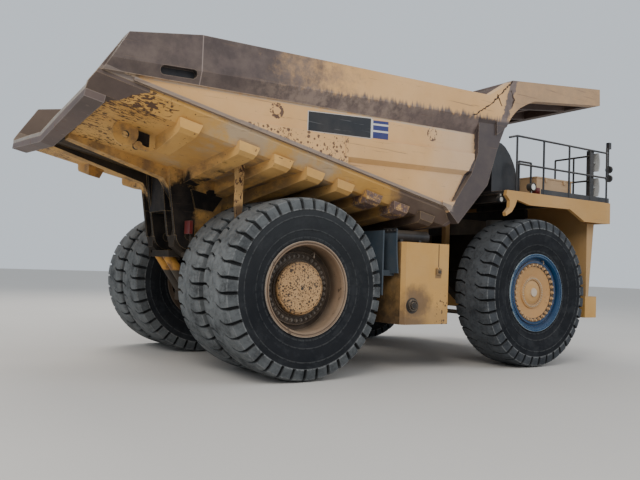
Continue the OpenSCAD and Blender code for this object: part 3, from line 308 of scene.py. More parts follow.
# Painted or rusty steel; region(wires, place, paint) may return another color socket for parts of the piece
def steel(name, changes, region=None):
    look = {**steelLook, **changes}
    material, wires, shader = newMaterial(name)
    place = wires.place()
    tint = wires.noise(place, look["tintScale"], 5.0, 0.6)
    color = wires.mix(wires.ramp(tint, 0.3, 0.7), look["color"], look["color2"])
    if region:
        color = region(wires, place, color)
    rust = useGroup(wires, "rust", {"Color": color, "Rust Color": look["rustColor"], "Amount": look["rust"],
                                    "Scale": look["rustScale"], "Streaks": look["streaks"]})
    marks = useGroup(wires, "scratches", {"Color": rust["Color"], "Bare Color": look["bare"],
                                          "Amount": look["scratches"], "Chips": look["chips"]})
    edges = useGroup(wires, "edgeWear", {"Color": marks["Color"], "Edge Color": look["edgeColor"],
                                         "Amount": look["edges"], "Width": look["edgeWidth"]})
    dust = useGroup(wires, "dust", {"Color": edges["Color"], "Dust Color": look["dustColor"],
                                    "Amount": look["dust"], "Film": look["film"]})
    wires.tree.links.new(dust["Color"], shader["Base Color"])
    worn = wires.add(wires.mul(rust["Mask"], 0.3), wires.mul(dust["Mask"], 0.35))
    wires.tree.links.new(wires.math("ADD", worn, look["rough"], clamp=True), shader["Roughness"])
    shader["Metallic"].default_value = look["metallic"]
    shader["Specular IOR Level"].default_value = look["shine"]
    dents = wires.mul(wires.noise(place, 1.7, 3.0, 0.5), look["dents"])
    height = wires.add(dents, wires.add(rust["Height"], wires.mul(marks["Height"], 0.5)))
    values = {"Strength": look["bump"], "Distance": look["bumpDepth"], "Height": height}
    wires.tree.links.new(wires.node("ShaderNodeBump", values).outputs[0], shader["Normal"])
    return material


paintLook = {"color": (0.49, 0.262, 0.068), "color2": (0.55, 0.31, 0.095), "rust": 0.16, "chips": 0.25,
             "scratches": 0.25, "dust": 0.5, "film": 0.10, "rough": 0.5, "edges": 0.4}
bedLook = {"color": (0.63, 0.355, 0.135), "color2": (0.69, 0.41, 0.18), "rust": 0.14, "chips": 0.26, "scratches": 0.5,
           "dust": 0.3, "film": 0.08, "rough": 0.52, "edges": 0.35, "edgeColor": (0.50, 0.38, 0.27)}
underLook = {"color": (0.58, 0.315, 0.085), "color2": (0.66, 0.39, 0.13), "rust": 0.22, "chips": 0.3,
             "scratches": 0.3, "dust": 0.3, "film": 0.08, "rough": 0.68, "shine": 0.14, "edges": 0.4,
             "edgeColor": (0.60, 0.42, 0.2)}
rustyLook = {"color": (0.088, 0.064, 0.059), "color2": (0.135, 0.096, 0.085), "rust": 0.4, "rustScale": 1.6,
             "chips": 0.2, "scratches": 0.6, "bare": (0.27, 0.20, 0.165), "dust": 0.3, "film": 0.12, "rough": 0.6,
             "edges": 0.5, "edgeColor": (0.32, 0.27, 0.235), "edgeWidth": 0.03, "dustColor": (0.26, 0.19, 0.15)}
# Frame and rear axle: near black for oil and for painted shade under the bed
shadedFrameLook = {"color": (0.018, 0.017, 0.017), "color2": (0.05, 0.040, 0.030), "rust": 0.3, "chips": 0.1,
             "scratches": 0.1, "dust": 0.4, "film": 0.10, "dustColor": (0.12, 0.092, 0.068), "rough": 0.85,
             "shine": 0.12, "edges": 0.15}
darkLook = {"color": (0.012, 0.014, 0.018), "color2": (0.025, 0.027, 0.032), "rust": 0.1, "chips": 0.1,
            "scratches": 0.15, "dust": 0.3, "film": 0.08, "rough": 0.45, "edges": 0.3, "edgeColor": (0.08, 0.08, 0.08)}
castLook = {"color": (0.07, 0.06, 0.05), "color2": (0.12, 0.095, 0.075), "rust": 0.35, "dust": 0.4, "film": 0.25,
            "rough": 0.6, "edges": 0.3}
rimBlueLook = {"color": (0.002, 0.034, 0.095), "color2": (0.004, 0.052, 0.135), "rust": 0.08, "chips": 0.25,
               "scratches": 0.1, "dust": 0.1, "film": 0.03, "rough": 0.5, "shine": 0.2, "edges": 0.5,
               "edgeColor": (0.20, 0.29, 0.36), "edgeWidth": 0.008}
rimTanLook = {"color": (0.17, 0.108, 0.066), "color2": (0.29, 0.195, 0.122), "rust": 0.35, "rustScale": 2.5,
              "chips": 0.5, "scratches": 0.2, "dust": 0.2, "film": 0.14, "rough": 0.55, "edges": 0.25,
              "edgeColor": (0.36, 0.29, 0.23)}
hubLook = {"color": (0.42, 0.235, 0.095), "color2": (0.50, 0.31, 0.15), "rust": 0.15, "rustScale": 3.0,
           "chips": 0.35, "scratches": 0.1, "bare": (0.10, 0.06, 0.04), "dust": 0.2, "film": 0.12, "rough": 0.55,
           "edges": 0.4}
chromeLook = {"color": (0.55, 0.53, 0.5), "color2": (0.6, 0.58, 0.55), "rust": 0.0, "chips": 0.0, "scratches": 0.2,
              "dust": 0.3, "film": 0.12, "rough": 0.18, "metallic": 1.0, "edges": 0.0}


# Bed sides: brown rail, post and foot strip round tan panels; the inside is bare brown steel
bedSideTones = {
    "paleEnd": (0.56, 0.44, 0.33), "cheek": (0.285, 0.185, 0.112), "flake": (0.12, 0.065, 0.04),
    "speck": (0.10, 0.05, 0.03), "brown": ((0.100, 0.072, 0.066), (0.185, 0.135, 0.118)),
    "tailBrown": ((0.064, 0.047, 0.045), (0.118, 0.087, 0.078)), "paleBand": (0.33, 0.245, 0.19),
    "post": (0.047, 0.035, 0.036), "lipLine": (0.52, 0.39, 0.27), "seam": (0.34, 0.27, 0.24),
    "foot": ((0.12, 0.085, 0.07), (0.30, 0.25, 0.22)), "slot": (0.010, 0.012, 0.018),
    "inside": ((0.085, 0.058, 0.045), (0.17, 0.12, 0.09))}


def bedSideRegion(wires, place, paint):
    tones, edges = bedSideTones, bedEdges
    x, y, z = wires.axes(place)
    drips = wires.noise(wires.stretched(place, (15.0, 15.0, 0.9)), 1.0, 8.0, 0.68)
    mottle = wires.noise(place, 4.5, 9.0, 0.72)
    broad = wires.noise(place, 0.9, 5.0, 0.6)
    ragged = wires.sway(mottle, 0.10)
    fold = wires.sub(z, wires.add(wires.mul(x, 0.0325), 4.778))  # height over the rail's fold
    lip = wires.sub(z, wires.add(wires.mul(x, 0.0106), 4.498))  # height over the rail's lower lip
    rail = wires.ramp(lip, -0.004, 0.004)

    # Brown: the rail below its fold and towards the tail, the slanting post and the strip at the canopy's throat
    border = wires.add(wires.sway(drips, 0.42), wires.mul(wires.sub(broad, 0.42), 0.12))
    below = wires.fall(wires.sub(fold, border), -0.03, 0.085)
    tailward = wires.fall(wires.add(x, wires.sway(mottle, 3.4)), ax(-1.0), ax(1.1))
    upper = wires.mul(rail, wires.top(below, tailward))
    slant = wires.add(wires.mul(wires.sub(z, edges["postZ"]), edges["postSlope"]), ax(edges["postX"]))
    slant = wires.math("MINIMUM", slant, ax(3.66))
    post = wires.mul(wires.ramp(wires.sub(wires.add(x, ragged), slant), -0.006, 0.006), wires.fall(z, 4.80, 4.86))
    throat = wires.sub(wires.sub(x, ax(4.36)), wires.mul(wires.sub(z, 4.9), 0.32))
    throat = wires.add(throat, wires.sway(mottle, 0.32))
    strip = wires.mul(wires.band(throat, -0.09, 0.09, 0.012), wires.band(z, 4.72, 5.72, 0.02))

    # Tan: paler towards the post, browner on the canopy's cheek
    frontward = wires.ramp(wires.add(x, wires.sway(broad, 1.6)), ax(2.2), ax(3.5))
    color = wires.mix(wires.mul(frontward, wires.flip(rail), 0.5), paint, tones["paleEnd"])
    cover = wires.add(wires.mul(wires.ramp(mottle, 0.25, 0.65), 0.22), 0.58)
    color = wires.mix(wires.mul(wires.ramp(x, ax(4.2), ax(4.8)), rail, cover), color, tones["cheek"])

    # Lost paint on the lower wall towards the tail and in two rings
    lower = wires.mul(wires.band(x, ax(-1.9), ax(0.66), 0.02), wires.fall(z, 4.03, 4.07))
    ringA = wires.band(wires.away(x, z, ax(2.58), 4.37), 0.05, 0.13, 0.01)
    ringB = wires.band(wires.away(x, z, ax(-0.70), 4.30), 0.06, 0.13, 0.01)
    lost = wires.top(wires.mul(lower, 0.80), ringA, ringB, 0.22)
    color = flakes(wires, color, tones["flake"], lost, (20.0, 20.0, 15.0))
    dots = wires.top(wires.mul(lower, 0.95), wires.mul(wires.top(ringA, ringB), 0.9), 0.16)
    color = specks(wires, color, tones["speck"], dots, 16.0)

    blotch = wires.ramp(wires.noise(place, 2.2, 8.0, 0.7), 0.35, 0.65)
    brown = wires.mix(wires.ramp(x, ax(-1.6), ax(0.4)), wires.mix(blotch, *tones["tailBrown"]),
                      wires.mix(blotch, *tones["brown"]))
    paleBand = wires.mul(wires.band(x, ax(-1.0), ax(2.0), 0.8), wires.ramp(mottle, 0.42, 0.6),
                         wires.fall(fold, 0.0, 0.05), 0.55)
    brown = wires.mix(paleBand, brown, tones["paleBand"])
    brown = wires.mix(wires.mul(post, 0.9), brown, tones["post"])
    color = wires.mix(wires.top(upper, post, strip), color, brown)
    color = wires.mix(wires.fall(wires.add(x, ragged), ax(-2.98), ax(-2.90)), color, brown)

    # Bright lip of the rail, its seam, the foot strip, and the slot painted near black as its shade
    lipLine = wires.mul(wires.band(lip, -0.03, 0.004, 0.006), wires.ramp(mottle, 0.35, 0.5),
                        wires.fall(x, ax(3.4), ax(3.6)))
    color = wires.mix(lipLine, color, tones["lipLine"])
    seam = wires.mul(rail, wires.band(x, ax(-2.045), ax(-2.03), 0.004))
    color = wires.mix(wires.mul(seam, 0.7), color, tones["seam"])
    foot = wires.sub(z, wires.sub(edges["foot"], wires.mul(x, edges["footSlope"])))
    footBand = wires.mul(wires.band(foot, -0.05, 0.064, 0.004), wires.fall(x, ax(3.0), ax(3.1)))
    brushed = wires.noise(wires.stretched(place, (2.0, 30.0, 30.0)), 1.0, 5.0, 0.7)
    color = wires.mix(wires.mul(footBand, 0.9), color, wires.mix(brushed, *tones["foot"]))
    # The slot's inside is painted near black: painted shade
    along = wires.top(wires.sub(wires.size(wires.sub(x, ax(-2.375))), 0.215), 0.0)
    across = wires.sub(z, wires.add(4.572, wires.mul(wires.sub(x, ax(-2.59)), 0.0325)))
    color = wires.mix(wires.fall(wires.away(along, across, 0.0, 0.0), 0.060, 0.064), color, tones["slot"])
    return wires.mix(wires.fall(wires.size(y), 2.944, 2.948), color, wires.mix(broad, *tones["inside"]))


# Floor of the bed: bare steel inside and at the tail's end, tan paint with long lost flakes below
floorTones = {
    "pale": (0.50, 0.40, 0.29), "flake": (0.10, 0.055, 0.035), "speck": (0.09, 0.05, 0.03),
    "greyDustAndShade": (0.190, 0.138, 0.100), "brown": ((0.07, 0.052, 0.048), (0.15, 0.11, 0.095)),
    "grimeAndShade": (0.011, 0.010, 0.010), "bare": ((0.07, 0.05, 0.04), (0.22, 0.165, 0.13)),
    "end": ((0.16, 0.13, 0.11), (0.46, 0.42, 0.38))}


def floorRegion(wires, place, paint):
    tones = floorTones
    x, y, _ = wires.axes(place)
    sideways = wires.size(y)
    facing = wires.facing()
    clouds = wires.noise(place, 0.8, 8.0, 0.7)
    pale = wires.mul(wires.ramp(clouds, 0.46, 0.6), wires.ramp(x, ax(-2.2), ax(-1.4)), 0.75)
    color = wires.mix(pale, paint, tones["pale"])
    tail = wires.fall(x, ax(-2.9), ax(-1.9))
    lost = wires.add(wires.mul(tail, wires.add(wires.mul(wires.ramp(sideways, 2.0, 2.9), 0.30), 0.62)), 0.26)
    color = flakes(wires, color, tones["flake"], lost, (7.0, 24.0, 24.0))
    color = specks(wires, color, tones["speck"], wires.add(wires.mul(tail, 0.6), 0.2), 11.0)
    # Grey-brown dust growing towards the front and the middle, partly painted shade deeper under the bed
    greyDustAndShade = wires.mul(wires.ramp(wires.noise(place, 1.6, 8.0, 0.7), 0.36, 0.56), wires.ramp(x, ax(-1.9), ax(-0.5)), 0.8)
    color = wires.mix(wires.mul(greyDustAndShade, wires.fall(sideways, 2.60, 2.74)), color, tones["greyDustAndShade"])

    # Brown: a curved edge at the tail and the heel's outer corners
    brown = wires.mix(wires.noise(place, 3.0, 7.0, 0.7), *tones["brown"])
    outward = wires.top(wires.sub(sideways, 2.0), 0.0)
    edge = wires.add(ax(-3.27), wires.mul(wires.math("POWER", outward, 6.0), 0.46))
    edge = wires.add(edge, wires.sway(wires.noise(place, 6.0, 7.0, 0.7), 0.10))
    color = wires.mix(wires.fall(wires.sub(x, edge), -0.01, 0.01), color, brown)
    heel = wires.ramp(wires.add(x, wires.sway(clouds, 1.2)), ax(1.5), ax(1.9))
    color = wires.mix(wires.mul(heel, wires.ramp(sideways, 2.3, 2.7), 0.95), color, brown)

    # Near black between the beams: grime and painted shade
    color = wires.mix(wires.mul(wires.fall(sideways, 0.40, 0.46), 0.93), color, tones["grimeAndShade"])
    brushed = wires.noise(wires.stretched(place, (1.2, 9.0, 9.0)), 1.0, 8.0, 0.7)
    color = wires.mix(wires.ramp(facing[2], 0.0, 0.2), color, wires.mix(brushed, *tones["bare"]))
    end = wires.mul(wires.fall(facing[0], -0.7, -0.5), wires.fall(x, ax(-3.1), ax(-3.0)))
    return wires.mix(end, color, wires.mix(wires.noise(place, 6.0, 6.0, 0.7), *tones["end"]))


# Beams and ribs: tan paint with scabs at the ribs' ends, black with oil and painted shade at the hinge and between the
# beams
beamTones = {
    "flake": (0.12, 0.065, 0.04), "speck": (0.10, 0.05, 0.03), "dust": (0.165, 0.112, 0.074),
    "scab": (0.13, 0.085, 0.075), "chip": (0.46, 0.38, 0.33), "worn": ((0.042, 0.033, 0.032), (0.098, 0.070, 0.058)),
    "oilAndShade": (0.012, 0.011, 0.012)}


def beamRegion(wires, place, paint):
    tones = beamTones
    x, y, z = wires.axes(place)
    sideways = wires.size(y)
    color = flakes(wires, paint, tones["flake"], 0.36, (9.0, 9.0, 9.0))
    color = specks(wires, color, tones["speck"], 0.3, 14.0)
    # Grey-brown dust growing towards the front and the middle, partly painted shade deeper under the bed
    dusty = wires.add(wires.noise(wires.stretched(place, (3.0, 1.0, 3.0)), 1.2, 7.0, 0.65),
                      wires.mul(wires.ramp(x, ax(-2.0), ax(1.5)), 0.20))
    share = wires.add(wires.mul(wires.fall(sideways, 2.2, 2.62), 0.55), 0.18)
    color = wires.mix(wires.mul(wires.ramp(dusty, 0.42, 0.68), share), color, tones["dust"])

    # Scabs and chips on the ribs' outer ends, worn brown in front of them
    ends = wires.mul(wires.band(x, ax(0.95), ax(2.15), 0.1), wires.ramp(sideways, 2.45, 2.6))
    scabs = wires.ramp(wires.noise(place, 7.0, 8.0, 0.75), 0.39, 0.50)
    color = wires.mix(wires.mul(ends, scabs), color, tones["scab"])
    chips = wires.ramp(wires.noise(place, 17.0, 6.0, 0.7), 0.58, 0.64)
    color = wires.mix(wires.mul(ends, chips, 0.6), color, tones["chip"])
    worn = wires.mix(wires.noise(place, 3.0, 7.0, 0.7), *tones["worn"])
    color = wires.mix(wires.mul(wires.ramp(x, ax(2.1), ax(2.25)), 0.95), color, worn)

    # Oil and painted shade in near black: round the hinge, on the keeper plates and the hook, inside the beams and in
    # the ring lug's bore
    rough = wires.sway(wires.noise(place, 2.2, 7.0, 0.65), 1.1)
    hingeOilAndShade = wires.mul(wires.fall(wires.add(x, rough), ax(-1.16), ax(-0.98)), wires.fall(wires.add(z, rough), 3.2, 3.42))
    deep = wires.fall(sideways, 0.40, 0.43)
    keeper = wires.mul(wires.ramp(sideways, 0.772, 0.776), wires.fall(sideways, 0.80, 0.81),
                       wires.band(x, ax(-1.2), ax(-0.5), 0.01), wires.band(z, 2.79, 3.23, 0.01))
    hook = wires.mul(wires.band(x, ax(-2.62), ax(-2.35), 0.01), wires.band(y, -1.96, -1.87, 0.01))
    inward = wires.mul(wires.facing()[1], wires.math("SIGN", y), -1.0)
    innerFace = wires.mul(wires.ramp(inward, 0.7, 0.9), wires.fall(sideways, 0.78, 0.80), 0.96)
    bore = wires.mul(wires.fall(wires.away(x, z, ax(-2.77), 3.79), 0.0555, 0.058), wires.band(y, -2.04, -1.96, 0.005))
    return wires.mix(wires.top(hingeOilAndShade, deep, keeper, hook, innerFace, bore), color, tones["oilAndShade"])


# Rock ejectors: rust in spots, dark foot
ejectorTones = {"pale": (0.50, 0.36, 0.22), "flake": (0.10, 0.05, 0.035), "foot": (0.05, 0.032, 0.026)}


def ejectorRegion(wires, place, paint):
    z = wires.axes(place)[2]
    color = wires.mix(0.35, paint, ejectorTones["pale"])
    color = flakes(wires, color, ejectorTones["flake"], 0.82, (14.0, 14.0, 9.0))
    foot = wires.fall(wires.add(z, wires.sway(wires.noise(place, 8.0, 6.0, 0.7), 0.3)), 2.80, 2.95)
    return wires.mix(wires.mul(foot, 0.85), color, ejectorTones["foot"])


# Rear hubs: a speckled cap in a rim well darkened for oil and painted shade
rearHubTones = {
    "speck": (0.020, 0.012, 0.009), "fineSpeck": (0.03, 0.018, 0.012), "ring": (0.05, 0.03, 0.02),
    "center": (0.012, 0.010, 0.009), "oilAndShadeWell": ((0.010, 0.009, 0.008), (0.065, 0.042, 0.028))}


def rearHubRegion(wires, place, paint):
    tones = rearHubTones
    x, _, z = wires.axes(place)
    radius = wires.away(x, z, wheelPlaces["rearX"], wheelPlaces["z"])
    color = specks(wires, paint, tones["speck"], 1.3, 30.0)
    color = specks(wires, color, tones["fineSpeck"], 1.0, 58.0)
    color = wires.mix(wires.mul(wires.band(radius, 0.398, 0.406, 0.002), 0.75), color, tones["ring"])
    color = wires.mix(wires.fall(radius, 0.026, 0.030), color, tones["center"])
    # Beyond the cap: near black for oil and painted shade in the well
    oilAndShadeWell = wires.mix(wires.noise(place, 7.0, 6.0, 0.7), *tones["oilAndShadeWell"])
    return wires.mix(wires.fall(radius, 0.436, 0.444), oilAndShadeWell, color)


# Front hubs: orange-tan dished disc with a pale boss, painted shade in a ring below the clamps and blue outside it
frontHubTones = {
    "dish": (0.40, 0.20, 0.07), "flake": (0.08, 0.04, 0.02), "boss": (0.52, 0.47, 0.40), "gap": (0.022, 0.015, 0.011),
    "blue": ((0.002, 0.034, 0.095), (0.004, 0.052, 0.135))}


def frontHubRegion(wires, place, paint):
    tones = frontHubTones
    x, _, z = wires.axes(place)
    radius = wires.away(x, z, wheelPlaces["frontX"], wheelPlaces["z"])
    # Painted shade in the ring below the clamps, and a thin dark line round the cover
    gap = wires.top(wires.band(radius, 0.520, 0.600, 0.004), wires.mul(wires.band(radius, 0.244, 0.252, 0.002), 0.8))
    color = wires.mix(wires.mul(wires.band(radius, 0.24, 0.55, 0.02), 0.5), paint, tones["dish"])
    color = flakes(wires, color, tones["flake"], 0.42, (16.0, 16.0, 16.0))
    color = wires.mix(wires.mul(wires.fall(radius, 0.085, 0.095), 0.7), color, tones["boss"])
    color = wires.mix(wires.mul(gap, 0.93), color, tones["gap"])
    blue = wires.mix(wires.noise(place, 5.0, 7.0, 0.7), *tones["blue"])
    return wires.mix(wires.ramp(radius, 0.596, 0.600), color, blue)


# Decks: black as painted shade at the rear end and on the beams below, between the side skirts
def deckRegion(wires, place, paint):
    x, y, z = wires.axes(place)
    # Near black under and behind the deck: painted shade
    rear = wires.fall(x, ax(4.66), ax(4.68))
    beams = wires.mul(wires.fall(z, 3.446, 3.450), wires.ramp(z, 3.26, 3.27))
    between = wires.mul(wires.fall(wires.size(y), 3.115, 3.119), wires.fall(x, ax(6.5), ax(6.52)))
    return wires.mix(wires.mul(wires.top(rear, beams), between), paint, (0.014, 0.015, 0.018))


# Front rims: pale flange lip over blue
rimBlueTones = {"lip": (0.33, 0.40, 0.44), "groove": (0.006, 0.03, 0.08)}


def rimBlueRegion(wires, place, paint):
    x, _, z = wires.axes(place)
    radius = wires.away(x, z, wheelPlaces["frontX"], wheelPlaces["z"])
    lip = wires.mul(wires.ramp(radius, 0.7745, 0.7765), wires.ramp(wires.noise(place, 8.0, 6.0, 0.7), 0.32, 0.5))
    step = wires.mul(wires.band(radius, 0.738, 0.742, 0.0012), 0.8)
    color = wires.mix(wires.top(lip, step), paint, rimBlueTones["lip"])
    return wires.mix(wires.band(radius, 0.728, 0.736, 0.0015), color, rimBlueTones["groove"])


# Rear rims: pale flange lip, flaking paint, a well darkened for oil and painted shade
rimTanTones = {
    "lip": (0.36, 0.30, 0.24), "groove": (0.055, 0.030, 0.018), "flake": (0.07, 0.042, 0.026),
    "oilAndShadeWell": (0.03, 0.02, 0.015)}


def rimTanRegion(wires, place, paint):
    tones = rimTanTones
    x, y, z = wires.axes(place)
    radius = wires.away(x, z, wheelPlaces["rearX"], wheelPlaces["z"])
    lip = wires.mul(wires.ramp(radius, 0.7745, 0.7765), wires.ramp(wires.noise(place, 8.0, 6.0, 0.7), 0.3, 0.45))
    color = wires.mix(lip, paint, tones["lip"])
    color = wires.mix(wires.mul(wires.band(radius, 0.733, 0.752, 0.003), 0.75), color, tones["groove"])
    color = flakes(wires, color, tones["flake"], 0.62, (9.0, 9.0, 9.0))
    # Inner part of the rim darkened for oil and painted shade in the well
    return wires.mix(wires.mul(wires.fall(wires.size(y), 2.66, 2.88), 0.8), color, tones["oilAndShadeWell"])


# Fuel tank: an oily stain round the cap, specks low down, a dark latch with its line above, painted shade on the rear
# face
tankTones = {
    "flake": (0.10, 0.055, 0.03), "stain": (0.115, 0.070, 0.040), "speck": (0.07, 0.04, 0.02),
    "rear": ((0.05, 0.035, 0.022), (0.16, 0.095, 0.045)), "latchPlate": (0.105, 0.068, 0.040),
    "dark": (0.018, 0.015, 0.013)}


def tankRegion(wires, place, paint):
    tones = tankTones
    x, y, z = wires.axes(place)
    outer = wires.math("LESS_THAN", y, -2.9)  # the photographed side's outer face
    rough = wires.noise(place, 5.0, 8.0, 0.7)
    stain = wires.fall(wires.add(wires.away(x, z, ax(2.38), 1.24), wires.sway(rough, 0.42)), 0.18, 0.46)
    low = wires.fall(wires.add(z, wires.sway(rough, 0.7)), 0.95, 1.35)
    low = wires.mul(low, wires.add(wires.mul(wires.fall(x, ax(2.4), ax(2.8)), 0.7), 0.3))
    corner = wires.mul(wires.ramp(x, ax(2.75), ax(3.0)), wires.fall(z, 1.3, 1.7))
    color = flakes(wires, paint, tones["flake"], wires.top(wires.mul(corner, 0.6), 0.18), (17.0, 17.0, 13.0))
    color = wires.mix(wires.mul(wires.top(stain, low), 0.84), color, tones["stain"])
    color = specks(wires, color, tones["speck"], wires.add(wires.mul(corner, 0.9), 0.14), 24.0)
    # Rear face darkened in mottled brown: painted shade
    rear = wires.mul(wires.fall(wires.facing()[0], -0.9, -0.7), wires.math("LESS_THAN", x, ax(2.10)), 0.75)
    color = wires.mix(rear, color, wires.mix(wires.ramp(rough, 0.4, 0.6), *tones["rear"]))
    latchPlate = wires.mul(wires.band(x, ax(2.82), ax(2.97), 0.01), wires.band(z, 1.73, 1.91, 0.01), outer, 0.72)
    color = wires.mix(latchPlate, color, tones["latchPlate"])
    filler = wires.mul(wires.fall(wires.away(x, z, ax(2.28), 1.225), 0.138, 0.150), outer)
    line = wires.mul(wires.band(x, ax(2.890), ax(2.909), 0.001), wires.band(z, 1.90, 2.36, 0.002), outer)
    latch = wires.mul(wires.band(x, ax(2.87), ax(2.94), 0.002), wires.band(z, 1.82, 1.88, 0.002),
                      wires.math("LESS_THAN", y, -2.95))
    return wires.mix(wires.top(filler, line, latch), color, tones["dark"])


# Struts: orange paint with rust, grey dust at the front ones
strutTones = {"orange": ((0.50, 0.235, 0.035), (0.13, 0.06, 0.03)), "foot": (0.035, 0.028, 0.022),
              "front": (0.16, 0.15, 0.14)}


def strutRegion(wires, place, paint):
    x, _, z = wires.axes(place)
    orange = wires.mix(wires.ramp(wires.noise(place, 5.0, 8.0, 0.7), 0.42, 0.6), *strutTones["orange"])
    orange = wires.mix(wires.fall(z, 1.70, 1.74), orange, strutTones["foot"])
    return wires.mix(wires.ramp(x, ax(1.0), ax(1.1)), orange, strutTones["front"])


# Lamps: red ones at the tail and on the deck, white fronts on the others
lampTones = {"red": (0.13, 0.010, 0.010), "body": (0.03, 0.03, 0.03)}


def lampRegion(wires, place, paint):
    x, _, z = wires.axes(place)
    tail = wires.fall(x, ax(-0.9), ax(-0.8))
    marker = wires.mul(wires.band(x, ax(5.40), ax(5.56), 0.005), wires.ramp(z, 3.49, 3.495))
    body = wires.mul(wires.band(x, ax(4.3), ax(5.38), 0.01), wires.ramp(wires.size(wires.facing()[1]), 0.95, 0.9))
    color = wires.mix(wires.top(tail, marker), paint, lampTones["red"])
    return wires.mix(body, color, lampTones["body"])


# Mirrors: pale curved heads on a dark post
def mirrorRegion(wires, place, paint):
    x, y, _ = wires.axes(place)
    heads = wires.mul(wires.band(x, ax(7.235), ax(7.45), 0.004), wires.ramp(wires.size(y), 2.95, 2.955))
    return wires.mix(heads, paint, (0.38, 0.38, 0.37))


# Tyre rubber: dusty tread, dark grooves, painted highlights on corners; the marks are attributes of the tyre's mesh
tyreMarks = ("tread", "groove", "corner")
tyreTones = {
    "rubber": ((0.0060, 0.0070, 0.0090), (0.018, 0.0195, 0.0235)), "upper": (0.038, 0.041, 0.044),
    "scuff": (0.040, 0.043, 0.047), "dusty": ((0.124, 0.134, 0.139), (0.205, 0.216, 0.219)),
    "dustyFront": (0.080, 0.088, 0.099), "corner": (0.20, 0.205, 0.205), "groove": (0.010, 0.010, 0.011),
    "dust": (0.125, 0.12, 0.112)}


def tyreMaterial():
    tones = tyreTones
    material, wires, shader = newMaterial("tyreRubber")
    place = wires.place()
    tread, groove, corner = (wires.node("ShaderNodeAttribute", attribute_name=mark).outputs["Fac"]
                             for mark in tyreMarks)
    clouds = wires.noise(place, 2.5, 8.0, 0.65)
    fine = wires.noise(place, 26.0, 6.0, 0.7)
    x, _, z = wires.axes(place)
    front = wires.ramp(x, ax(2.0), ax(3.0))
    rubber = wires.mix(clouds, *tones["rubber"])
    # Lighter towards the top, less on the front tyre: dust and painted sky light
    upper = wires.mul(wires.ramp(z, 0.9, 2.7), wires.flip(wires.mul(front, 0.85)),
                      wires.add(wires.mul(clouds, 0.6), 0.4))
    rubber = wires.mix(wires.mul(upper, 0.8), rubber, tones["upper"])
    scuffed = wires.ramp(wires.noise(wires.stretched(place, (1.0, 5.0, 1.0)), 3.0, 8.0, 0.7), 0.48, 0.62)
    rubber = wires.mix(wires.mul(scuffed, 0.35), rubber, tones["scuff"])
    dusty = wires.mix(wires.mul(front, 0.85), wires.mix(clouds, *tones["dusty"]), tones["dustyFront"])
    cover = wires.mul(tread, wires.ramp(wires.add(clouds, wires.mul(fine, 0.35)), 0.28, 0.8))
    color = wires.mix(cover, rubber, dusty)
    # Pale corners: painted highlights along the lugs' edges and the sidewall steps
    color = wires.mix(wires.mul(corner, wires.ramp(fine, 0.3, 0.6)), color, tones["corner"])
    color = wires.mix(wires.mul(groove, 0.85), color, tones["groove"])
    dust = useGroup(wires, "dust", {"Color": color, "Dust Color": tones["dust"], "Amount": 0.22, "Film": 0.03})
    wires.tree.links.new(dust["Color"], shader["Base Color"])
    wires.tree.links.new(wires.add(wires.mul(clouds, 0.15), 0.82), shader["Roughness"])
    shader["Specular IOR Level"].default_value = 0.12
    pits = wires.node("ShaderNodeTexVoronoi", {"Vector": place, "Scale": 22.0}).outputs["Distance"]
    pitMask = wires.mul(wires.fall(pits, 0.05, 0.22), tread)
    chips = wires.mul(wires.ramp(wires.noise(place, 8.0, 6.0, 0.72), 0.50, 0.60), tread)
    height = wires.sub(wires.mul(fine, 0.5), wires.add(wires.mul(pitMask, 0.6), wires.mul(chips, 0.8)))
    bump = wires.node("ShaderNodeBump", {"Strength": 0.85, "Distance": 0.014, "Height": height})
    wires.tree.links.new(bump.outputs[0], shader["Normal"])
    return material


def glassMaterial(name, tint, alpha):
    material, wires, shader = newMaterial(name)
    dust = useGroup(wires, "dust", {"Color": tint, "Dust Color": (0.38, 0.33, 0.27), "Amount": 0.4, "Film": 0.22})
    wires.tree.links.new(dust["Color"], shader["Base Color"])
    wires.tree.links.new(wires.math("ADD", wires.mul(dust["Mask"], 0.5), alpha, clamp=True), shader["Alpha"])
    wires.tree.links.new(wires.add(wires.mul(dust["Mask"], 0.4), 0.06), shader["Roughness"])
    return material


def plain(color, rough=0.6, **more):  # look of a small piece with little wear
    look = {"color": color, "color2": tuple(1.25 * value for value in color), "rust": 0.05, "chips": 0.05,
            "scratches": 0.15, "dust": 0.3, "film": 0.12, "rough": rough, "edges": 0.15,
            "dustColor": (0.2, 0.165, 0.13)}
    return {**look, **more}


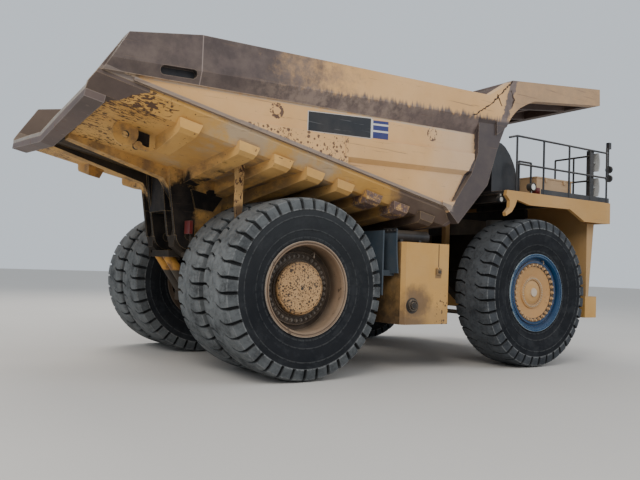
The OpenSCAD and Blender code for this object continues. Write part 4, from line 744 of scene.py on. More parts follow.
materials = {
    "paint": steel("machinePaint", paintLook),
    "tank": steel("tankPaint", paintLook, tankRegion),
    "deck": steel("deckPaint", dict(paintLook, color=(0.43, 0.232, 0.066), color2=(0.485, 0.275, 0.092)),
                  deckRegion),
    "panel": steel("panelPaint", dict(paintLook, color=(0.41, 0.24, 0.095), color2=(0.46, 0.285, 0.125))),
    "box": steel("boxPaint", dict(paintLook, color=(0.45, 0.29, 0.155), color2=(0.52, 0.35, 0.20))),
    "bedSide": steel("bedSidePaint", bedLook, bedSideRegion),
    "floor": steel("bedFloorPaint", underLook, floorRegion),
    "beam": steel("bedBeamPaint", underLook, beamRegion),
    "ejector": steel("ejectorPaint", underLook, ejectorRegion),
    "rusty": steel("rustySteel", rustyLook),
    "frame": steel("oilyShadedFrame", shadedFrameLook),
    "dark": steel("darkTubes", darkLook),
    "mirror": steel("mirrorParts", darkLook, mirrorRegion),
    "cast": steel("dustyCasting", castLook),
    "strut": steel("strutPaint", dict(paintLook, rust=0.35), strutRegion),
    "rimBlue": steel("blueRim", rimBlueLook, rimBlueRegion),
    "rimTan": steel("dustyRim", rimTanLook, rimTanRegion),
    "rearHub": steel("rearHub", hubLook, rearHubRegion),
    "frontHub": steel("frontHub", dict(hubLook, color=(0.46, 0.25, 0.085), color2=(0.52, 0.32, 0.14)),
                      frontHubRegion),
    "clamp": steel("clampBolts", dict(hubLook, chips=0.5)),
    "paleBolt": steel("paleBolts", plain((0.42, 0.32, 0.21), 0.5)),
    "oilBolt": steel("oilyBolts", plain((0.105, 0.088, 0.072), 0.4)),
    "chrome": steel("hoistRod", chromeLook),
    "flap": steel("flapRubber", plain((0.038, 0.057, 0.077), 0.7, bare=(0.05, 0.055, 0.06), edges=0.5,
                                      edgeColor=(0.10, 0.11, 0.12))),
    "trim": steel("cabTrim", plain((0.022, 0.022, 0.024))),
    "seal": steel("windowSeal", plain((0.008, 0.008, 0.009), 0.7)),
    "plate": steel("blankPlate", plain((0.010, 0.012, 0.016), 0.5, scratches=0.35, bare=(0.25, 0.25, 0.25))),
    "blue": steel("stripeBlue", plain((0.016, 0.024, 0.125), 0.5, scratches=0.4, bare=(0.4, 0.36, 0.3))),
    "white": steel("stripeWhite", plain((0.50, 0.49, 0.47), 0.5)),
    "crack": steel("crackRust", plain((0.030, 0.015, 0.010), 0.8)),
    "weld": steel("weldBead", dict(bedLook, color=(0.40, 0.26, 0.14), color2=(0.50, 0.33, 0.17), rust=0.35)),
    "lens": glassMaterial("lampLens", (0.75, 0.75, 0.72), 0.8),
    "lamp": steel("lampParts", plain((0.62, 0.62, 0.58), 0.3), lampRegion),
    "glass": glassMaterial("windowGlass", (0.06, 0.08, 0.09), 0.35),
    "tyre": tyreMaterial(),
}

# Finish of each of the assembly's nodes
nodeFinish = {
    "frame": "frame", "rear_axle": "frame", "suspension_struts": "strut", "engine": "cast", "drive_shaft": "cast",
    "radiator": "dark", "bumper": "paint", "lamps": "lamp", "fuel_tank": "tank", "hydraulic_tank": "paint",
    "air_receiver": "dark", "mud_flaps": "flap", "deck": "deck", "front_panels": "panel", "handrails": "dark",
    "ladders": "dark", "cab_shell": "paint", "cab_roof": "paint", "cab_glass": "glass", "cab_interior": "trim",
    "battery_box": "box", "intake_housing": "dark", "mirrors": "mirror", "cab_door": "paint", "door_glass": "glass",
    "knuckle_left": "cast", "knuckle_right": "cast", "tie_rod": "cast",
    "rim_front_left": "rimBlue", "rim_front_right": "rimBlue", "rims_rear_left": "rimTan", "rims_rear_right": "rimTan",
    "hub_front_left": "frontHub", "hub_front_right": "frontHub",
    "hub_rear_left": "rearHub", "hub_rear_right": "rearHub",
    "tyre_front_left": "tyre", "tyre_front_right": "tyre", "tyres_rear_left": "tyre", "tyres_rear_right": "tyre",
    "bed_floor": "floor", "bed_side_left": "bedSide", "bed_side_right": "bedSide", "bed_front": "rusty",
    "bed_canopy": "rusty", "bed_tail": "rusty", "bed_ribs": "beam", "bed_beams": "beam", "rock_ejectors": "ejector",
    "hoist_barrels": "paint", "hoist_stages": "chrome", "hoist_rods": "chrome",
}
for node, finish in nodeFinish.items():
    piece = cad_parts[node]
    piece.data.materials.clear()
    piece.data.materials.append(materials[finish])
print("materials made")


def newPiece(name, vertices, faces, material, smooth=False):
    mesh = bpy.data.meshes.new(name)
    mesh.from_pydata(vertices, [], faces)
    mesh.update()
    if smooth:
        mesh.polygons.foreach_set("use_smooth", [True] * len(mesh.polygons))
    piece = bpy.data.objects.new(name, mesh)
    bpy.context.scene.collection.objects.link(piece)
    mesh.materials.append(materials[material])
    return piece


def faceOut(piece, bevel=0.0):  # turns the faces outwards and rounds the edges by bevel
    shape = bmesh.new()
    shape.from_mesh(piece.data)
    bmesh.ops.recalc_face_normals(shape, faces=shape.faces)
    if bevel:
        edges = [edge for edge in shape.edges if len(edge.link_faces) == 2 and edge.calc_face_angle() > 0.6]
        bmesh.ops.bevel(shape, geom=edges, offset=bevel, segments=2, affect="EDGES", clamp_overlap=True)
    shape.to_mesh(piece.data)
    shape.free()


# Tyres: worn lugs with a bent groove, a flat shoulder face, a step and ringed sidewalls
tyreLook = {"radius": 1.4995, "lugs": 38, "grooveTop": 0.088, "grooveBottom": 0.064, "bend": 0.22, "farBend": 0.45,
            "notch": 0.5, "notchStart": 0.36, "notchLength": 0.06, "sharpFrom": 19}
# Rows from the middle out: radius, y, radial and sideways share of the outward direction, groove depth,
# share of the bend, and how far the row counts as tread and as a corner with a painted highlight
tyreRows = [
    (1.500, 0.000, 1.0, 0.00, 0.000, 0.0, 0.95, 0.0), (1.4995, 0.060, 1.0, 0.00, 0.000, 0.0, 0.95, 0.0),
    (1.499, 0.118, 1.0, 0.00, 0.000, 1.0, 0.95, 0.0), (1.4985, 0.132, 1.0, 0.00, 0.034, 1.0, 1.0, 0.0),
    (1.497, 0.185, 1.0, 0.00, 0.044, 0.55, 1.0, 0.0), (1.495, 0.235, 1.0, 0.00, 0.050, 0.1, 1.0, 0.0),
    (1.492, 0.285, 1.0, 0.05, 0.054, 0.0, 1.0, 0.0), (1.487, 0.335, 1.0, 0.08, 0.056, 0.0, 1.0, 0.0),
    (1.478, 0.385, 0.95, 0.20, 0.058, 0.0, 1.0, 0.0), (1.466, 0.418, 0.85, 0.45, 0.058, 0.0, 0.9, 0.0),
    (1.456, 0.430, 0.70, 0.70, 0.056, 0.0, 0.6, 0.9), (1.440, 0.436, 0.25, 0.97, 0.052, 0.0, 0.62, 0.0),
    (1.400, 0.449, 0.10, 1.0, 0.050, 0.0, 0.58, 0.0), (1.350, 0.461, 0.05, 1.0, 0.046, 0.0, 0.56, 0.0),
    (1.310, 0.467, 0.0, 1.0, 0.040, 0.0, 0.46, 0.1), (1.296, 0.4685, 0.0, 1.0, 0.012, 0.0, 0.35, 0.8),
    (1.287, 0.4685, 0.0, 1.0, 0.0, 0.0, 0.3, 0.8), (1.276, 0.456, 0.0, 1.0, 0.0, 0.0, 0.04, 0.0),
    (1.240, 0.460, 0.0, 1.0, 0.0, 0.0, 0.02, 0.0), (1.195, 0.463, 0.0, 1.0, 0.0, 0.0, 0.02, 0.0),
    (1.188, 0.468, 0.0, 1.0, 0.0, 0.0, 0.05, 0.15), (1.176, 0.468, 0.0, 1.0, 0.0, 0.0, 0.05, 0.15),
    (1.168, 0.461, 0.0, 1.0, 0.0, 0.0, 0.0, 0.0), (1.100, 0.455, 0.0, 1.0, 0.0, 0.0, 0.0, 0.0),
    (1.030, 0.441, 0.0, 1.0, 0.0, 0.0, 0.0, 0.0), (0.975, 0.427, 0.0, 1.0, 0.0, 0.0, 0.0, 0.0),
    (0.968, 0.431, 0.0, 1.0, 0.0, 0.0, 0.02, 0.12), (0.955, 0.427, 0.0, 1.0, 0.0, 0.0, 0.02, 0.12),
    (0.948, 0.419, 0.0, 1.0, 0.0, 0.0, 0.0, 0.0), (0.890, 0.401, 0.0, 1.0, 0.0, 0.0, 0.0, 0.0),
    (0.850, 0.389, 0.0, 1.0, 0.0, 0.0, 0.0, 0.0), (0.842, 0.392, 0.0, 1.0, 0.0, 0.0, 0.02, 0.15),
    (0.800, 0.376, 0.0, 1.0, 0.0, 0.0, 0.0, 0.0), (0.782, 0.369, 0.0, 1.0, 0.0, 0.0, 0.0, 0.0),
    (0.762, 0.363, 0.0, 1.0, 0.0, 0.0, 0.0, 0.0)]


def tyreGrid():
    look = tyreLook
    top, bottom = look["grooveTop"], look["grooveBottom"]
    # One lug's columns, as shares of its width: 0 to 3 are the groove of the half at +y, 5 to 8 of the half at -y
    columns = [-top, -bottom, bottom, top, 0.25, 0.5 - top, 0.5 - bottom, 0.5 + bottom, 0.5 + top, 0.75]
    grooveColumns = {1: (0, 1, 2, 3), -1: (5, 6, 7, 8)}
    between = (4, 9)
    rows = [(row, -1) for row in reversed(tyreRows[1:])] + [(row, 1) for row in tyreRows]
    scale = look["radius"] / tyreRows[0][0]
    points, tread, groove, corner = [], [], [], []
    for lug in range(look["lugs"]):
        for index, share in enumerate(columns):
            for (radius, y, nr, ny, depth, bendShare, isTread, isCornerHighlight), side in rows:
                near = grooveColumns[side]
                floor = index in near[1:3]
                lean = bendShare * look["bend"] * (1.0 if index in near else look["farBend"])
                middle = share if index in between else (0.0 if index < between[0] else 0.5)
                wide = 1.0 + look["notch"] * min(1.0, max(0.0, (y - look["notchStart"]) / look["notchLength"]))
                turn = lug + middle + (share - middle) * wide + lean * side
                angle = turn * 2 * math.pi / look["lugs"]
                cut = depth if floor else 0.0
                r = (radius - cut * nr) * scale
                points.append((r * math.cos(angle), side * (y - cut * ny), r * math.sin(angle)))
                tread.append(isTread)
                groove.append(1.0 if floor and depth else 0.0)
                corner.append(isCornerHighlight if not floor else 0.0)
    count, height = len(columns) * look["lugs"], len(rows)
    faces = []
    for a in range(count):
        b = (a + 1) % count
        for k in range(height - 1):
            faces.append((a * height + k, a * height + k + 1, b * height + k + 1, b * height + k))
    return points, faces, dict(zip(tyreMarks, (tread, groove, corner)))


def makeTyres(name, body, node, places, turn):
    points, faces, marks = tyreGrid()
    allPoints, allFaces = [], []
    for number, (x, y, z) in enumerate(places):
        cos, sin = math.cos(turn + number * 0.4), math.sin(turn + number * 0.4)
        base = len(allPoints)
        allPoints += [(x + px * cos - pz * sin, y + py, z + px * sin + pz * cos) for px, py, pz in points]
        allFaces += [tuple(base + i for i in face) for face in faces]
    piece = newPiece(name, allPoints, allFaces, "tyre")
    for label, values in marks.items():
        layer = piece.data.attributes.new(label, "FLOAT", "POINT")
        layer.data.foreach_set("value", values * len(places))
    faceOut(piece)
    piece.data.set_sharp_from_angle(angle=math.radians(tyreLook["sharpFrom"]))
    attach(piece, body)
    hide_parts(node)


for side, word in sides:
    front, *rear = [(wheelPlaces[x], side * wheelPlaces[y], wheelPlaces["z"]) for x, y in
                    (("frontX", "frontY"), ("rearX", "innerY"), ("rearX", "outerY"))]
    makeTyres("tyreFront_" + word, "wheel_front_" + word, "tyre_front_" + word, [front], 0.03)
    makeTyres("tyresRear_" + word, "wheels_rear_" + word, "tyres_rear_" + word, rear, 0.07)
print("tyres made")


# Node trees for what repeats: each takes points with an aim and sets one small shape on each
spotSeed, fullTurn = 4, 6.28


def makeSpotTree(name, sizes, shape):
    tree = bpy.data.node_groups.new(name, "GeometryNodeTree")
    sockets = tree.interface
    sockets.new_socket(name="Points", in_out="INPUT", socket_type="NodeSocketGeometry")
    for label, value in sizes + [("Seed", spotSeed), ("Spin", fullTurn)]:
        kind = "NodeSocketInt" if isinstance(value, int) else "NodeSocketFloat"
        sockets.new_socket(name=label, in_out="INPUT", socket_type=kind).default_value = value
    sockets.new_socket(name="Material", in_out="INPUT", socket_type="NodeSocketMaterial")
    sockets.new_socket(name="Shapes", in_out="OUTPUT", socket_type="NodeSocketGeometry")
    wires = Wires(tree)
    given = wires.node("NodeGroupInput").outputs
    aim = wires.node("GeometryNodeInputNamedAttribute", {"Name": "aim"}, data_type="FLOAT_VECTOR").outputs[0]
    turned = wires.node("FunctionNodeAlignRotationToVector", {"Vector": aim}, axis="Z").outputs[0]
    chance = {"Seed": given["Seed"], 2: 0.0, 3: given["Spin"]}
    spin = wires.node("FunctionNodeRandomValue", chance, data_type="FLOAT").outputs[1]
    twist = wires.node("FunctionNodeAxisAngleToRotation", {"Axis": (0.0, 0.0, 1.0), "Angle": spin}).outputs[0]
    both = wires.node("FunctionNodeRotateRotation", {0: turned, 1: twist}, rotation_space="LOCAL").outputs[0]
    values = {"Points": given["Points"], "Instance": shape(wires, given), "Rotation": both}
    spots = wires.node("GeometryNodeInstanceOnPoints", values)
    real = wires.node("GeometryNodeRealizeInstances", {0: spots.outputs[0]})
    dressed = wires.node("GeometryNodeSetMaterial", {"Geometry": real.outputs[0], "Material": given["Material"]})
    tree.links.new(dressed.outputs[0], wires.node("NodeGroupOutput").inputs[0])
    return tree


def cone(wires, corners, wide, narrow, height):
    values = {"Vertices": corners, "Radius Bottom": wide, "Radius Top": narrow, "Depth": height}
    return wires.node("GeometryNodeMeshCone", values, fill_type="NGON").outputs[0]


def boltShape(wires, given):  # washer below a hexagon head
    radius, height = given["Head Radius"], given["Head Height"]
    wide = wires.mul(radius, 1.35)
    joined = wires.node("GeometryNodeJoinGeometry")
    for part in (cone(wires, given["Sides"], radius, wires.mul(radius, 0.88), height),
                 cone(wires, 12, wide, wires.mul(wide, 0.96), wires.mul(height, 0.22))):
        wires.tree.links.new(part, joined.inputs[0])
    return joined.outputs[0]


def studShape(wires, given):  # long low button of a step plate
    return cone(wires, 6, given["Radius"], wires.mul(given["Radius"], 0.55), given["Height"])


def barShape(wires, given):  # flat bar standing along the aim
    size = wires.node("ShaderNodeCombineXYZ", {0: given["Width"], 1: given["Width"], 2: given["Length"]}).outputs[0]
    cube = wires.node("GeometryNodeMeshCube", {0: size}).outputs[0]
    lift = wires.node("ShaderNodeCombineXYZ", {2: wires.mul(given["Length"], 0.5)}).outputs[0]
    return wires.node("GeometryNodeTransform", {"Geometry": cube, "Translation": lift}).outputs[0]


boltTree = makeSpotTree("boltHeads", [("Head Radius", 0.02), ("Head Height", 0.02), ("Sides", 6)], boltShape)
studTree = makeSpotTree("stepStuds", [("Radius", 0.02), ("Height", 0.004)], studShape)
barTree = makeSpotTree("flatBars", [("Width", 0.01), ("Length", 1.0)], barShape)


def setInputs(modifier, values):
    for item in modifier.node_group.interface.items_tree:
        if item.item_type == "SOCKET" and item.in_out == "INPUT" and item.name in values:
            modifier[item.identifier] = values[item.name]


def spread(name, body, tree, spots, values, material):
    mesh = bpy.data.meshes.new(name + "_points")
    mesh.from_pydata([spot[0] for spot in spots], [], [])
    layer = mesh.attributes.new("aim", "FLOAT_VECTOR", "POINT")
    layer.data.foreach_set("vector", [value for spot in spots for value in spot[1]])
    holder = bpy.data.objects.new(name + "_points", mesh)
    bpy.context.scene.collection.objects.link(holder)
    modifier = holder.modifiers.new("spots", "NODES")
    modifier.node_group = tree
    setInputs(modifier, {**values, "Seed": spotSeed, "Material": materials[material]})
    bpy.context.view_layer.update()
    shape = bpy.data.meshes.new_from_object(holder.evaluated_get(bpy.context.evaluated_depsgraph_get()))
    shape.name = name
    bpy.data.objects.remove(holder)
    piece = bpy.data.objects.new(name, shape)
    bpy.context.scene.collection.objects.link(piece)
    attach(piece, body)


def makeBolts(name, body, spots, look, material):
    values = {"Head Radius": look["radius"], "Head Height": look["height"], "Sides": look["sides"]}
    spread(name, body, boltTree, spots, values, material)


def ring(center, side, radius, count):  # spots round a wheel's axis, aimed outwards
    x, y, z = center
    angles = [k * 2 * math.pi / count for k in range(count)]
    return [((x + radius * math.cos(angle), y, z + radius * math.sin(angle)), (0.0, float(side), 0.0))
            for angle in angles]


# Bolt rings of the wheels: body, the wheel's place, finish, ring radius, count, distance out and the head's size
wheelBoltLooks = {
    "frontClampBolts": {"body": "wheel_front_", "at": ("frontX", "frontY"), "finish": "clamp", "ring": 0.560,
                        "count": 30, "out": 0.314, "radius": 0.027, "height": 0.044, "sides": 6},
    "frontCoverBolts": {"body": "wheel_front_", "at": ("frontX", "frontY"), "finish": "paleBolt", "ring": 0.286,
                        "count": 36, "out": 0.287, "radius": 0.015, "height": 0.018, "sides": 6},
    "rearDriveBolts": {"body": "wheels_rear_", "at": ("rearX", "outerY"), "finish": "oilBolt", "ring": 0.535,
                       "count": 36, "out": 0.053, "radius": 0.024, "height": 0.034, "sides": 6},
}
for side, word in sides:
    for name, look in wheelBoltLooks.items():
        x, y = (wheelPlaces[key] for key in look["at"])
        spots = ring((x, side * (y + look["out"]), wheelPlaces["z"]), side, look["ring"], look["count"])
        makeBolts(name + "_" + word, look["body"] + word, spots, look, look["finish"])
print("bolts made")


# Collects tubes and plates into one closed mesh
class Shape:
    def __init__(self):
        self.points, self.faces = [], []

    def add(self, points, faces):
        base = len(self.points)
        self.points += [tuple(point) for point in points]
        self.faces += [tuple(base + i for i in face) for face in faces]

    def tube(self, path, radius, sides=8, closed=False, wobble=None):
        path = [Vector(point) for point in path]
        count, points = len(path), []
        normal = None
        for k, place in enumerate(path):
            before = path[k - 1] if k or closed else path[k]
            after = path[(k + 1) % count] if k < count - 1 or closed else path[k]
            along = (after - before).normalized()
            if normal is None:
                normal = along.orthogonal().normalized()
            normal = (normal - along * normal.dot(along)).normalized()
            across = along.cross(normal)
            wide = radius * (1.0 + (wobble.uniform(-0.22, 0.22) if wobble else 0.0))
            for j in range(sides):
                angle = j * 2 * math.pi / sides
                points.append(place + normal * wide * math.cos(angle) + across * wide * math.sin(angle))
        faces = []
        for k in range(count if closed else count - 1):
            a, b = k * sides, (k + 1) % count * sides
            for j in range(sides):
                n = (j + 1) % sides
                faces.append((a + j, a + n, b + n, b + j))
        if not closed:
            faces += [tuple(reversed(range(sides))), tuple(range((count - 1) * sides, count * sides))]
        self.add(points, faces)

    def plate(self, corners, out):  # prism: corners in order, out = thickness vector
        corners, out = [Vector(corner) for corner in corners], Vector(out)
        count = len(corners)
        points = corners + [corner + out for corner in corners]
        faces = [tuple(reversed(range(count))), tuple(range(count, 2 * count))]
        faces += [(k, (k + 1) % count, count + (k + 1) % count, count + k) for k in range(count)]
        self.add(points, faces)

    def done(self, name, material, body, slot, angle=40, bevel=0.0):
        piece = newPiece(name, self.points, self.faces, material, True)
        faceOut(piece, bevel)
        piece.data.set_sharp_from_angle(angle=math.radians(angle))
        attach(piece, body)


def bent(points, steps=6):  # soft curve through the given points
    points = [Vector(point) for point in points]
    padded = [points[0]] + points + [points[-1]]
    path = []
    for k in range(1, len(padded) - 2):
        p0, p1, p2, p3 = padded[k - 1:k + 3]
        for j in range(steps):
            t = j / steps
            path.append(0.5 * (2 * p1 + (p2 - p0) * t + (2 * p0 - 5 * p1 + 4 * p2 - p3) * t * t
                               + (3 * p1 - p0 - 3 * p2 + p3) * t ** 3))
    return path + [points[-1]]


# Bed side: blank plate, plain stripes and cracks in the rail; left and right give x, lower and upper z
plateLook = {"left": (-0.11, 4.07, 4.38), "right": (1.16, 4.11, 4.45), "border": 0.014, "stripesTo": 1.55, "wall": 3.02,
             "blueStripes": ((0.02, 0.34), (0.44, 0.68), (0.78, 0.93)), "paleStripes": ((0.345, 0.435), (0.685, 0.775))}


def makePlates():
    x0, low0, high0 = plateLook["left"]
    x1, low1, high1 = plateLook["right"]
    edge, stripesFrom, stripesTo = plateLook["border"], x1 + 0.05, plateLook["stripesTo"]
    dark, pale, blue = Shape(), Shape(), Shape()

    def height(x, share):
        t = (x - x0) / (x1 - x0)
        low, high = low0 + (low1 - low0) * t, high0 + (high1 - high0) * t
        return low + (high - low) * share

    def panel(shape, side, left, right, share0, share1, out, thick):
        corners = [(ax(x), side * (plateLook["wall"] + out), height(x, share)) for x, share in
                   ((left, share0), (right, share0), (right, share1), (left, share1))]
        shape.plate(corners, (0, side * thick, 0))

    for side, _ in sides:
        panel(pale, side, x0 - edge, x1 + edge, -0.04, 1.04, -0.001, 0.004)
        panel(dark, side, x0, x1, 0.0, 1.0, 0.002, 0.004)
        panel(pale, side, x1 + 0.016, stripesFrom, 0.0, 0.98, -0.001, 0.003)
        for low, high in plateLook["blueStripes"]:
            panel(blue, side, stripesFrom, stripesTo, low, high, -0.001, 0.003)
        for low, high in plateLook["paleStripes"]:
            panel(pale, side, stripesFrom, stripesTo, low, high, -0.001, 0.0025)
    dark.done("blankPlates", "plate", "bed", "dark_steel")
    pale.done("plateBorders", "white", "bed", "bed_paint")
    blue.done("sideStripes", "blue", "bed", "bed_paint")


# Cracks in the right rail, each as x and z of its turns
crackLook = {"wall": 3.15, "width": 0.034, "step": 0.035, "shake": 0.014, "seed": 8,
             "lines": (((3.48, 4.83), (3.93, 5.10), (4.22, 5.36), (4.56, 5.68)), ((4.13, 5.35), (4.27, 5.14)),
                       ((4.52, 5.49), (4.61, 5.32), (4.55, 5.16)))}


def makeCracks():
    look = crackLook
    chance = random.Random(look["seed"])
    shape = Shape()
    for line in look["lines"]:
        path = []
        for (xa, za), (xb, zb) in zip(line, line[1:]):
            steps = max(3, int(math.hypot(xb - xa, zb - za) / look["step"]))
            for k in range(steps):
                t = k / steps
                path.append((xa + (xb - xa) * t + chance.uniform(-look["shake"], look["shake"]),
                             za + (zb - za) * t + chance.uniform(-look["shake"], look["shake"])))
        path.append(line[-1])
        for (xa, za), (xb, zb) in zip(path, path[1:]):
            long = math.hypot(xb - xa, zb - za) or 1.0
            wide = look["width"] * chance.uniform(0.35, 1.2) / 2
            nx, nz = -(zb - za) / long * wide, (xb - xa) / long * wide
            corners = [(xa - nx, za - nz), (xb - nx, zb - nz), (xb + nx, zb + nz), (xa + nx, za + nz)]
            shape.plate([(ax(x), -look["wall"] + 0.002, z) for x, z in corners], (0, -0.0045, 0))
    shape.done("railCracks", "crack", "bed", "rusty_steel")


makePlates()
makeCracks()
print("bed marks made")


# Weld beads on the bed's sides, along the foot strip and the post
weldLook = {"radius": 0.011, "step": 0.022, "seed": 5, "wall": 3.021, "footEnds": (-2.80, 2.95), "overFoot": 0.068,
            "postParts": ((3.20, 4.02), (4.10, 4.47)), "behindPost": 0.02}


def makeWelds():
    look, edges = weldLook, bedEdges
    chance = random.Random(look["seed"])
    shape = Shape()

    def bead(side, start, end):  # start and end as x and z
        start, end = (Vector((ax(x), side * look["wall"], z)) for x, z in (start, end))
        steps = max(2, int((end - start).length / look["step"]))
        path = [start.lerp(end, k / steps) for k in range(steps + 1)]
        shape.tube(path, look["radius"], 6, wobble=chance)

    for side, _ in sides:
        bead(side, *((x, edges["foot"] - edges["footSlope"] * ax(x) + look["overFoot"]) for x in look["footEnds"]))
        for part in look["postParts"]:
            bead(side, *((edges["postX"] + (z - edges["postZ"]) * edges["postSlope"] - look["behindPost"], z)
                         for z in part))
    shape.done("bedWelds", "weld", "bed", "bed_paint")


# Flap skirts: rubber sheets clamped to the flaps' outer edges
skirtLook = {"x": 1.915, "inner": 2.50, "outer": 2.885, "top": 2.60, "bottom": 1.80, "thick": 0.022, "sag": 0.05,
             "steps": 8, "across": 4, "clamp": 0.012}


def makeSkirts():
    look = skirtLook
    sheet, strips = Shape(), Shape()
    steps, wide = look["steps"], look["across"] + 1
    for side, _ in sides:
        front = []
        for k in range(steps + 1):
            t = k / steps
            z = look["top"] + (look["bottom"] - look["top"]) * t
            for s in (j / look["across"] for j in range(wide)):
                front.append((ax(look["x"] + look["sag"] * t * t * (0.4 + 0.6 * s)),
                              side * (look["inner"] + (look["outer"] - look["inner"]) * s), z))
        back = [(x + look["thick"], y, z) for x, y, z in front]
        count = len(front)
        faces = []
        for k in range(steps):
            for j in range(wide - 1):
                a = k * wide + j
                faces.append((a, a + 1, a + wide + 1, a + wide))
                faces.append((count + a, count + a + wide, count + a + wide + 1, count + a + 1))
        rim = list(range(wide)) + [k * wide + wide - 1 for k in range(1, steps + 1)]
        rim += [steps * wide + j for j in range(wide - 2, -1, -1)] + [k * wide for k in range(steps - 1, 0, -1)]
        for a, b in zip(rim, rim[1:] + rim[:1]):
            faces.append((a, b, count + b, count + a))
        sheet.add(front + back, faces)
        inner, outer, low, high = look["inner"] - 0.02, look["outer"] + 0.01, look["top"] - 0.07, look["top"] + 0.01
        corners = [(ax(look["x"] - look["clamp"]), side * y, z) for y, z in
                   ((inner, low), (outer, low), (outer, high), (inner, high))]
        strips.plate(corners, (look["clamp"], 0, 0))
    sheet.done("flapSkirts", "flap", "chassis", "flap_rubber")
    strips.done("flapClamps", "dark", "chassis", "dark_steel", bevel=0.003)


# Valve stems on the rims: the wheel's place, distance out and radius on the rim, then the path's turns
# as steps along the radius and outwards
stemLook = {"radius": 0.009, "cap": 1.6, "capLength": 0.03, "aim": (0.34, 0.94),
            "turns": ((0.0, 0.0), (0.02, 0.035), (0.012, 0.075), (-0.03, 0.09)),
            "wheels": (("front", "wheel_front_", "frontX", "frontY", 0.285, 0.665),
                       ("rear", "wheels_rear_", "rearX", "outerY", 0.16, 0.60))}


def makeStems():
    look = stemLook
    across, up = look["aim"]
    for side, word in sides:
        for name, body, x, y, out, radius in look["wheels"]:
            shape = Shape()
            path = bent([(wheelPlaces[x] + (radius + step) * across, side * (wheelPlaces[y] + out + more),
                          wheelPlaces["z"] + (radius + step) * up) for step, more in look["turns"]], 5)
            shape.tube(path, look["radius"])
            capEnd = path[-1] + (path[-1] - path[-2]).normalized() * look["capLength"]
            shape.tube([path[-1], capEnd], look["radius"] * look["cap"])
            shape.done(name + "Valve_" + word, "cast", body + word, "cast_parts", angle=50)


# Window seals of the cab: where the walls, sills and heads are, the margins at the walls' ends, and the left side's
# windows as x and width
sealLook = {"x0": 5.08, "x1": 6.93, "y0": 0.58, "y1": 2.28, "sill": 4.08, "head": 5.00, "radius": 0.017, "out": 0.004,
            "margins": (0.11, 0.20, 0.15), "curve": 0.06, "leftWindows": ((6.37, 0.45), (5.19, 0.28)),
            "doorWindow": (5.65, 0.52), "leftCurve": 0.05}


def frameLoop(corner, right, up, curve, steps=5):  # rounded rectangle from its corner and two edge vectors
    corner, right, up = Vector(corner), Vector(right), Vector(up)
    a, b = right.normalized() * curve, up.normalized() * curve
    spots = []
    for center, start in ((corner + right - a + b, -90), (corner + right + up - a - b, 0),
                          (corner + up + a - b, 90), (corner + a + b, 180)):
        for k in range(steps + 1):
            angle = math.radians(start + 90 * k / steps)
            spots.append(center + a * math.cos(angle) + b * math.sin(angle))
    return spots


def makeSeals():
    look = sealLook
    out, width, length = look["out"], look["y1"] - look["y0"], look["x1"] - look["x0"]
    front, rear, right = look["margins"]

    def leftWindow(x, wide):
        return x, look["y1"] + out, (wide, 0, 0), look["leftCurve"]

    # Each window: its low corner's x and y, its lower edge as a vector and the radius of its corners
    windows = [(look["x1"] + out, look["y0"] + front, (0, width - 2 * front, 0), look["curve"]),
               (look["x0"] - out, look["y0"] + rear, (0, width - 2 * rear, 0), look["curve"]),
               (look["x0"] + right, look["y0"] - out, (length - 2 * right, 0, 0), look["curve"])]
    windows += [leftWindow(*window) for window in look["leftWindows"]]
    doorWindows = [leftWindow(*look["doorWindow"])]
    for name, body, places in (("windowSeals", "chassis", windows), ("doorSeal", "door", doorWindows)):
        seals = Shape()
        for x, y, edge, curve in places:
            loop = frameLoop((ax(x), y, look["sill"]), edge, (0, 0, look["head"] - look["sill"]), curve)
            seals.tube(loop, look["radius"], 6, True)
        seals.done(name, "seal", body, "cab_trim", angle=60)


def placed(points):  # moved into the shared frame
    return [(ax(x), y, z) for x, y, z in points]


# Wiper of the windscreen
wiperLook = {"arm": ((6.945, 1.55, 4.05), (6.975, 1.50, 4.22), (6.968, 1.38, 4.52)), "armRadius": 0.010,
             "blade": ((6.952, 1.41, 4.22), (6.958, 1.37, 4.55), (6.952, 1.31, 4.86)), "bladeRadius": 0.008,
             "pivot": ((6.90, 1.55, 4.05), (6.965, 1.55, 4.05)), "pivotRadius": 0.026}


def makeWiper():
    look = wiperLook
    wiper = Shape()
    wiper.tube(bent(placed(look["arm"]), 5), look["armRadius"])
    wiper.tube(bent(placed(look["blade"]), 5), look["bladeRadius"], 6)
    wiper.tube(placed(look["pivot"]), look["pivotRadius"], 12)
    wiper.done("wiper", "dark", "chassis", "dark_steel", angle=50)


# Steering wheel with its spokes (angles round the wheel) and its column
steeringLook = {"center": (6.30, 1.41, 4.36), "tilt": 32, "radius": 0.23, "rim": 0.016, "steps": 32,
                "spokes": (0.5, 2.64, 4.71), "spokeLength": 0.225, "spokeRadius": 0.011,
                "column": ((6.42, 1.41, 4.22), (6.58, 1.41, 4.05)), "columnRadius": 0.032}


def makeSteeringWheel():
    look = steeringLook
    wheel = Shape()
    center, *column = placed((look["center"], *look["column"]))
    center, tilt = Vector(center), math.radians(look["tilt"])
    across, up = Vector((0, 1, 0)), Vector((math.cos(tilt), 0, math.sin(tilt)))

    def spot(angle, radius):
        return center + across * radius * math.cos(angle) + up * radius * math.sin(angle)

    loop = [spot(2 * math.pi * k / look["steps"], look["radius"]) for k in range(look["steps"])]
    wheel.tube(loop, look["rim"], 8, True)
    for angle in look["spokes"]:
        wheel.tube([center, spot(angle, look["spokeLength"])], look["spokeRadius"], 6)
    wheel.tube(bent([center, *column], 5), look["columnRadius"], 12)
    wheel.done("steeringWheel", "trim", "chassis", "cab_trim", angle=50)


